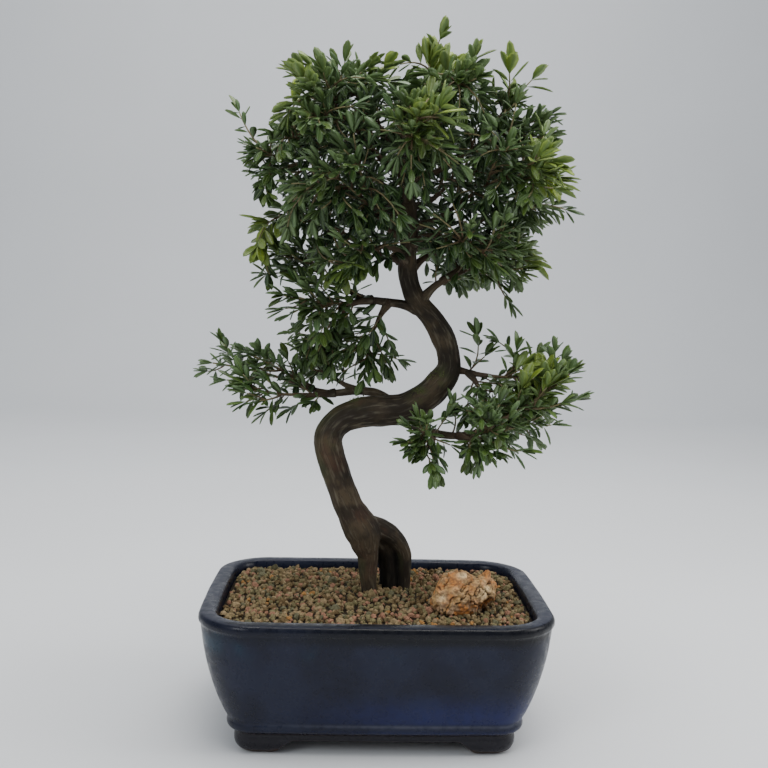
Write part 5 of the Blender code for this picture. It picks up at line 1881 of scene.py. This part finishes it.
@dataclass
class Foliage:
    """Leafy stems: twigs with opposite pairs of leaves, each pair turned a quarter from the last.

    Lengths and radii are in mm, a leaf's width is a share of its length, and places are shares of a
    twig's length. Young spots are x, z and radius; crown_floor parts the crown from the pads. The
    first leaves are those of twigs, side shoots and infill; the tip leaves are a number, a turn
    from one to the next and an angle from the twig, in radians like the leaves' lean. Youth at the
    crown's rim is its most, and the share of the dome where it begins and over which it grows; open
    air and light height also hold where the light begins to grow and over how much.
    """

    plans: dict[str, SprayPlan]
    leaf_length: Pair = (8.2, 12.8)
    leaf_width: Pair = (0.30, 0.41)
    leaf_curl: Pair = (-0.16, 0.08)
    young_growth: Pair = (0.60, 0.1)
    missing_leaves: float = 0.10
    pair_step: float = 4.1
    leaf_lean: Pair = (1.12, 0.57)
    tip_leaves: tuple[int, float, float] = (3, 2.1, 0.22)
    twig_sides: int = 5
    twig_radii: Pair = (1.1, 0.55)
    side_radii: Pair = (0.85, 0.45)
    shoot_radii: Pair = (0.62, 0.38)
    infill_radii: Pair = (0.66, 0.38)
    first_leaves: Place = (0.22, 0.16, 0.38)
    side_starts: Pair = (0.34, 0.58)
    crown_floor: float = 260.0
    young_front: float = 12.0
    young_behind: float = 0.35
    rim_youth: tuple[float, float, float] = (0.32, 0.75, 0.35)
    pad_youth: float = 0.2
    pad_light: float = 0.85
    inner_light: float = 0.12
    low_light: float = 0.40
    open_air: Pair = (0.55, 0.40)
    light_height: Pair = (290.0, 75.0)
    twig_length: Pair = (13.0, 23.0)
    main_places: tuple[float, ...] = (0.12, 0.27, 0.42, 0.57, 0.70, 0.84)
    side_places: tuple[float, ...] = (0.30, 0.55, 0.80)
    branch_places: tuple[float, ...] = (0.45, 0.60, 0.74, 0.88)
    host_step: float = 4.0
    young_spots: Rows = (
        (21, 353, 9.5), (92, 335, 14), (92, 284, 12), (-71, 298, 10), (-55, 372, 12),
        (-49, 395, 12), (-3, 399, 12), (86, 212, 11), (75, 390, 12), (32, 398, 13),
    )
    pad_tips: Rows = (
        (31, -22, 186), (38, -25, 189), (46, -28, 184), (40, -33, 174), (50, -22, 193),
        (43, -18, 194), (54, -38, 172), (58, -2, 236), (71.5, -4, 233), (48, -30, 170),
        (60, -22, 203), (74, -20, 199),
    )
    dome: Dome = field(default_factory=Dome)
    blade: LeafBlade = field(default_factory=LeafBlade)
    leaf_finish: LeafFinish = field(default_factory=LeafFinish)
    twig_finish: TwigFinish = field(default_factory=TwigFinish)

    def skeleton(self, number: int, plan: SprayPlan) -> list[Array]:
        """Main twig and two side twigs, as in the frame, with the frame's own draws and shares.

        Args:
            number: Place of the spray in the layout.
            plan: Its plan.

        Returns:
            Fine rows of each twig.
        """
        draw = random.Random(SEED * 1000 + number * 50)
        path = smooth_path(plan.stations, BRANCH_STEP)
        end, before = Vector(path[-1][:3]), Vector(path[-2][:3])
        way = (end - before).normalized()
        base, tip = end + way * 0.3 * MM, Vector(plan.tip) * MM
        span = (tip - base).length
        control = base + way * span * 0.45
        coarse = arc_path(base, control, tip, 4, self.twig_radii)
        twigs = [arc_path(end - way * 1.5 * MM, control, tip, 16, self.twig_radii)]
        spin = draw.uniform(0.0, math.tau)
        for order, place in enumerate(self.side_starts):
            start, along = path_frame(coarse, place)
            across = along.orthogonal().normalized()
            across.rotate(Quaternion(along, spin + order * math.pi + draw.uniform(-0.3, 0.3)))
            heading = (along * 0.62 + across * 0.78).normalized()
            reach = span * (0.50 - 0.06 * order)
            finish = start + (along * 0.9 + across * 0.62).normalized() * reach
            twigs.append(arc_path(start, start + heading * reach * 0.5, finish, 10, self.side_radii))
        return twigs

    def reach_out(self, carriers: dict[str, list[Array]], targets: Array) -> dict[str, list[Array]]:
        """Shoots to the targets, each from the nearest point of any carrier.

        Args:
            carriers: Twigs of each spray that can carry such shoots.
            targets: Tips of the shoots.

        Returns:
            Rows of the shoots of each spray.
        """
        owned = [(name, twig[:, :3]) for name, twigs in carriers.items() for twig in twigs]
        names = [name for name, twig in owned for _ in range(len(twig) - 1)]
        starts = np.vstack([twig[:-1] for _, twig in owned])
        ways = np.vstack([unit(np.diff(twig, axis=0)) for _, twig in owned])
        dome = self.dome
        shoots: dict[str, list[Array]] = {name: [] for name in carriers}
        for target in targets:
            distance = np.linalg.norm(starts - target, axis=1)
            index = int(np.argmin(distance))
            if distance[index] > dome.reach * MM:
                continue
            start, end = Vector(starts[index]), Vector(target)
            length = (end - start).length
            if length < dome.least * MM:
                end = start + (end - Vector(dome.centre) * MM).normalized() * dome.least * MM
                length = dome.least * MM
            lean = Vector(ways[index]) * 0.5 + (end - start).normalized() * 0.7 + Vector((0.0, 0.0, 0.12))
            control = start + lean.normalized() * length * 0.5
            shoots[names[index]].append(arc_path(start, control, end, 6, self.infill_radii))
        return shoots

    def side_shoots(
        self, hosts: Sequence[tuple[Array, Sequence[float]]], droop: float, full: float, draw: random.Random
    ) -> list[Array]:
        """Short twigs that leave the hosts in a spiral.

        Args:
            hosts: Twigs and the shares of their lengths where shoots start.
            droop: How far the shoots hang.
            full: Fullness of the spray; the shoots of a thin one are short.
            draw: Source of random numbers.

        Returns:
            Rows of each shoot.
        """
        shoots = []
        turn = draw.uniform(0.0, math.tau)
        for host, places in hosts:
            for place in places:
                start, along = path_frame(host, min(0.98, place + draw.uniform(-0.04, 0.04)))
                turn += GOLDEN_ANGLE
                across = along.orthogonal().normalized()
                across.rotate(Quaternion(along, turn + draw.uniform(-0.4, 0.4)))
                rise = Vector((0.0, 0.0, 0.22 - 0.5 * droop))
                heading = (along * 0.55 + across * 0.85 + rise).normalized()
                length = draw.uniform(*self.twig_length) * MM * (1.0 - 0.25 * place) * (0.5 + 0.5 * full)
                lift = Vector((0.0, 0.0, draw.uniform(-0.05, 0.22)))
                end = start + (heading + along * 0.25 + lift).normalized() * length
                control = start + heading * length * 0.55
                shoots.append(arc_path(start, control, end, 6, self.shoot_radii))
        return shoots

    def youth_at(self, place: Vector, draw: random.Random) -> float:
        """Share of young leaf at a place: most near a spot of fresh growth, some at the crown's rim.

        Args:
            place: Place in metres.
            draw: Source of random numbers.

        Returns:
            A share from 0 to 1.
        """
        near = 0.0
        for x, z, radius in self.young_spots:
            distance = math.hypot(place.x / MM - x, place.z / MM - z) / radius
            near = max(near, math.exp(-distance * distance))
        near *= 1.0 if place.y < self.young_front * MM else self.young_behind
        share = float(self.dome.share(np.array(place) / MM))
        most, first, width = self.rim_youth
        in_crown = place.z > self.crown_floor * MM
        rim = most * clamped((share - first) / width) if in_crown else self.pad_youth
        return min(1.0, near * draw.uniform(0.55, 1.1) + rim * draw.random())

    def painted_light_at(self, place: Vector) -> float:
        """Share of painted light on a leaf's green: least deep in the crown and on its lower half, where
        shade falls.

        Args:
            place: Place in metres.

        Returns:
            A share from 0 to 1.
        """
        if place.z < self.crown_floor * MM:
            return self.pad_light
        share = float(self.dome.share(np.array(place) / MM))
        open_air = clamped((share - self.open_air[0]) / self.open_air[1])
        height = clamped((place.z / MM - self.light_height[0]) / self.light_height[1])
        dark, low = self.inner_light, self.low_light
        return dark + (1.0 - dark) * open_air * (low + (1.0 - low) * height)

    def leaf_out(self, twig: Array, first: float, droop: float, leaves: Leaves) -> None:
        """Set pairs of leaves along a twig and a rosette at its tip.

        Args:
            twig: Rows of the twig.
            first: Share of its length where the leaves begin.
            droop: How far the leaves hang.
            leaves: Where the leaves are noted.
        """
        draw = leaves.draw
        length = float(np.linalg.norm(np.diff(twig[:, :3], axis=0), axis=1).sum()) / MM
        pairs = max(2, int(length * (1.0 - first) / self.pair_step))
        turn = draw.uniform(0.0, math.tau)
        for pair in range(pairs + 1):
            share = first + (0.985 - first) * pair / pairs
            root, way = path_frame(twig, share)
            turn += math.pi / 2.0 + draw.uniform(-0.25, 0.25)
            tip = pair / pairs
            youth = self.youth_at(root, draw) * (0.45 + 0.55 * tip)
            lean = self.leaf_lean[0] + (self.leaf_lean[1] - self.leaf_lean[0]) * tip
            for half in (0.0, math.pi):
                if draw.random() >= self.missing_leaves:
                    self.set_leaf(root, way, (turn + half, lean), droop, youth, leaves)
        root, way = path_frame(twig, 0.99)
        count, step, lean = self.tip_leaves
        for extra in range(count):
            youth = self.youth_at(root, draw)
            self.set_leaf(root, way, (turn + extra * step, lean), 0.3 * droop, youth, leaves)

    def set_leaf(
        self,
        root: Vector,
        way: Vector,
        angles: Pair,
        droop: float,
        youth: float,
        leaves: Leaves,
    ) -> None:
        """Draw one leaf and note it.

        Args:
            root: Place on the twig.
            way: Direction of the twig.
            angles: Angle about the twig and angle from it.
            droop: How far it hangs.
            youth: Share of young leaf.
            leaves: Where it is noted.
        """
        draw = leaves.draw
        turn, lean = angles
        across = way.orthogonal().normalized()
        across.rotate(Quaternion(way, turn))
        angle = lean + draw.uniform(-0.2, 0.2)
        heading = way * math.cos(angle) + across * math.sin(angle)
        heading = (heading + Vector((0.0, 0.0, -droop * draw.uniform(0.5, 1.2)))).normalized()
        face = Vector((0.0, 0.0, 0.9)) + way * 0.6 + Vector([draw.uniform(-0.4, 0.4) for _ in range(3)])
        if heading.cross(face).length < 0.2:
            face = way.orthogonal()
        length = draw.uniform(*self.leaf_length) * MM * (1.0 + self.young_growth[0] * youth)
        width = length * draw.uniform(*self.leaf_width) * (1.0 + self.young_growth[1] * youth)
        # random tone darkened by painted shade
        tone = draw.random() * self.painted_light_at(root)
        leaves.add(root, heading, face, length, width, draw.uniform(*self.leaf_curl), tone, youth)

    def build(self) -> None:
        """Make every spray."""
        materials = [self.leaf_finish.material(), self.twig_finish.material()]
        plans = enumerate(self.plans.items())
        skeletons = {name: self.skeleton(number, plan) for number, (name, plan) in plans}
        crown = {name: twigs for name, twigs in skeletons.items() if name.startswith(self.dome.carriers)}
        pads = {
            name: [*twigs, smooth_path(self.plans[name].stations, self.host_step * MM)]
            for name, twigs in skeletons.items()
            if "_pad_" in name
        }
        infill = self.reach_out(crown, self.dome.targets())
        infill.update(self.reach_out(pads, np.array(self.pad_tips) * MM))
        for number, (name, twigs) in enumerate(skeletons.items()):
            self.build_spray(number, name, twigs, infill.get(name, []), materials)

    def build_spray(
        self, number: int, name: str, twigs: list[Array], infill: list[Array], materials: Materials
    ) -> None:
        """Make one leafy stem.

        Args:
            number: Place of the spray in the layout.
            name: Name of the CAD node that it stands for.
            twigs: Its main twig and side twigs.
            infill: Its shoots that fill the crown or a pad.
            materials: Leaf and twig materials.
        """
        plan = self.plans[name]
        draw = random.Random(SEED * 31 + number)
        branch = smooth_path(plan.stations, self.host_step * MM)
        places = (self.main_places, self.side_places, self.side_places, self.branch_places)
        shoots = self.side_shoots(list(zip([*twigs, branch], places)), plan.droop, plan.full, draw)
        shoots = [shoot for shoot in shoots if draw.random() < plan.full]
        if name.startswith("crown"):
            shoots = [shoot for shoot in shoots if self.dome.share(shoot[-1, :3] / MM) < self.dome.trim]
        leaves = Leaves(draw)
        for stems, first in zip((twigs, shoots, infill), self.first_leaves):
            for stem in stems:
                self.leaf_out(stem, first, plan.droop, leaves)
        foliage, attributes = leaves.meshes(self.blade)
        rows = [*twigs, *shoots, *infill]
        stems = joined([sweep(row, self.twig_sides) for row in rows])
        spray = build_object(f"leafy_{name}", *joined([foliage, stems]))
        mesh = spray.data
        extra = len(stems[0])
        ages = [np.repeat(np.linspace(0.0, 1.0, len(row)), self.twig_sides) for row in rows]
        ages = [np.append(age, (0.0, 1.0)) for age in ages]
        set_attribute(mesh, "blade", np.vstack([attributes["blade"], np.zeros((extra, 3))]))
        set_attribute(mesh, "tone", np.concatenate([attributes["tone"], np.zeros(extra)]))
        set_attribute(mesh, "youth", np.concatenate([attributes["youth"], *ages]))
        leaf_faces = sum(len(group) for group in foliage[1])
        slots = (np.arange(len(mesh.polygons)) >= leaf_faces).astype(np.int32)
        dress(spray, Slot.FOLIAGE, materials, name)
        mesh.polygons.foreach_set("material_index", slots)


# Studio


@dataclass
class Studio:
    """Pale floor that sweeps up into a plain backdrop, soft lights and the camera.

    Lengths are in metres and angles in degrees. A light is its name, place, target, side, power in
    watts and colour.
    """

    place: Place = (-0.021, -0.6, 0.2512)
    yaw: float = -2.2
    pitch: float = 4.3
    roll: float = 1.45
    focal_pixels: float = 988.0
    picture: int = 768
    sensor: float = 36.0
    half_width: float = 2.5
    wall_top: float = 2.4
    bend_start: float = 1.7
    bend_radius: float = 0.6
    lights: tuple[tuple[str, Place, Place, float, float, Colour], ...] = (
        ("overhead", (0.10, -0.10, 1.10), (0.0, 0.0, 0.25), 0.9, 13.0, (1.0, 0.99, 0.97)),
        ("front left", (-0.75, -0.95, 0.75), (0.0, 0.0, 0.22), 0.5, 4.5, (0.95, 0.98, 1.0)),
        ("right", (0.95, -0.15, 0.60), (0.0, 0.0, 0.22), 0.5, 4.0, (1.0, 0.99, 0.98)),
        ("backdrop", (0.0, 0.95, 1.7), (0.0, 2.3, 0.45), 1.8, 20.0, (1.0, 1.0, 1.0)),
    )
    air_colour: Colour = (0.80, 0.86, 0.94)
    air_strength: float = 0.47
    finish: PlainFinish = PlainFinish("studio floor", (0.76, 0.77, 0.78), (0.78, 0.79, 0.80), 0.9, 3.0)

    def sweep_floor(self) -> None:
        """Make the floor: a flat run, a quarter circle and a wall."""
        angle = np.linspace(0.0, math.pi / 2.0, 24)
        bend = np.column_stack([
            self.bend_start + self.bend_radius * np.sin(angle),
            self.bend_radius * (1.0 - np.cos(angle)),
        ])
        wall = (self.bend_start + self.bend_radius, self.wall_top)
        profile = np.vstack([(-self.half_width, 0.0), bend, wall])
        across = np.linspace(-self.half_width, self.half_width, 6)
        x, row = np.meshgrid(across, np.arange(len(profile)))
        points = np.column_stack([x.ravel(), profile[row.ravel()]])
        grid = np.arange(len(points)).reshape(len(profile), -1)
        quads = np.stack([grid[:-1, :-1], grid[:-1, 1:], grid[1:, 1:], grid[1:, :-1]], axis=-1)
        floor = build_object("floor", points, [quads.reshape(-1, 4)])
        floor.data.materials.append(self.finish.material())

    @staticmethod
    def add_light(
        name: str, place: Place, target: Place, size: float, power: float, colour: Colour
    ) -> None:
        """Add a square soft light.

        Args:
            name: Name of the light.
            place: Where it hangs.
            target: Where it points.
            size: Side in metres.
            power: Power in watts.
            colour: Its colour.
        """
        light = bpy.data.lights.new(name, "AREA")
        light.size = size
        light.energy = power
        light.color = colour
        item = bpy.data.objects.new(name, light)
        item.location = place
        item.rotation_euler = (Vector(target) - Vector(place)).to_track_quat("-Z", "Y").to_euler()
        bpy.context.scene.collection.objects.link(item)

    def add_camera(self) -> None:
        """Set the camera at the place and the angles of view that the pot's rim gave."""
        yaw, pitch, roll = (math.radians(angle) for angle in (self.yaw, self.pitch, self.roll))
        level = Vector((math.cos(yaw), math.sin(yaw), 0.0))
        ahead = Vector((-math.sin(yaw), math.cos(yaw), 0.0))
        forward = ahead * math.cos(pitch) + Vector((0.0, 0.0, -math.sin(pitch)))
        upright = level.cross(forward)
        right = math.cos(roll) * level + math.sin(roll) * upright
        up = -math.sin(roll) * level + math.cos(roll) * upright
        data = bpy.data.cameras.new("camera")
        data.sensor_width = self.sensor
        data.lens = self.focal_pixels * self.sensor / self.picture
        data.clip_start = 0.02
        camera = bpy.data.objects.new("camera", data)
        turn = Matrix((right, up, -forward)).transposed().to_4x4()
        camera.matrix_world = Matrix.Translation(self.place) @ turn
        bpy.context.scene.collection.objects.link(camera)
        bpy.context.scene.camera = camera

    def build(self) -> None:
        """Set up floor, light and camera."""
        self.sweep_floor()
        self.add_camera()
        for light in self.lights:
            self.add_light(*light)
        world = bpy.data.worlds.new("studio air")
        world.use_nodes = True
        background = world.node_tree.nodes["Background"]
        background.inputs[0].default_value = (*self.air_colour, 1.0)
        background.inputs[1].default_value = self.air_strength
        bpy.context.scene.world = world


def main() -> None:
    """Build the pieces in order."""
    logging.basicConfig(level=logging.INFO, format="%(name)s %(message)s")
    Effects().build()
    plans = {**LOW_SPRAYS, **CrownPlan().sprays_of()}
    PotBody().build()
    DrainageScreens().build()
    SoilBed().build()
    AccentStone().build()
    Wood(plans).build()
    Foliage(plans).build()
    Studio().build()


if __name__ == "__main__":
    main()
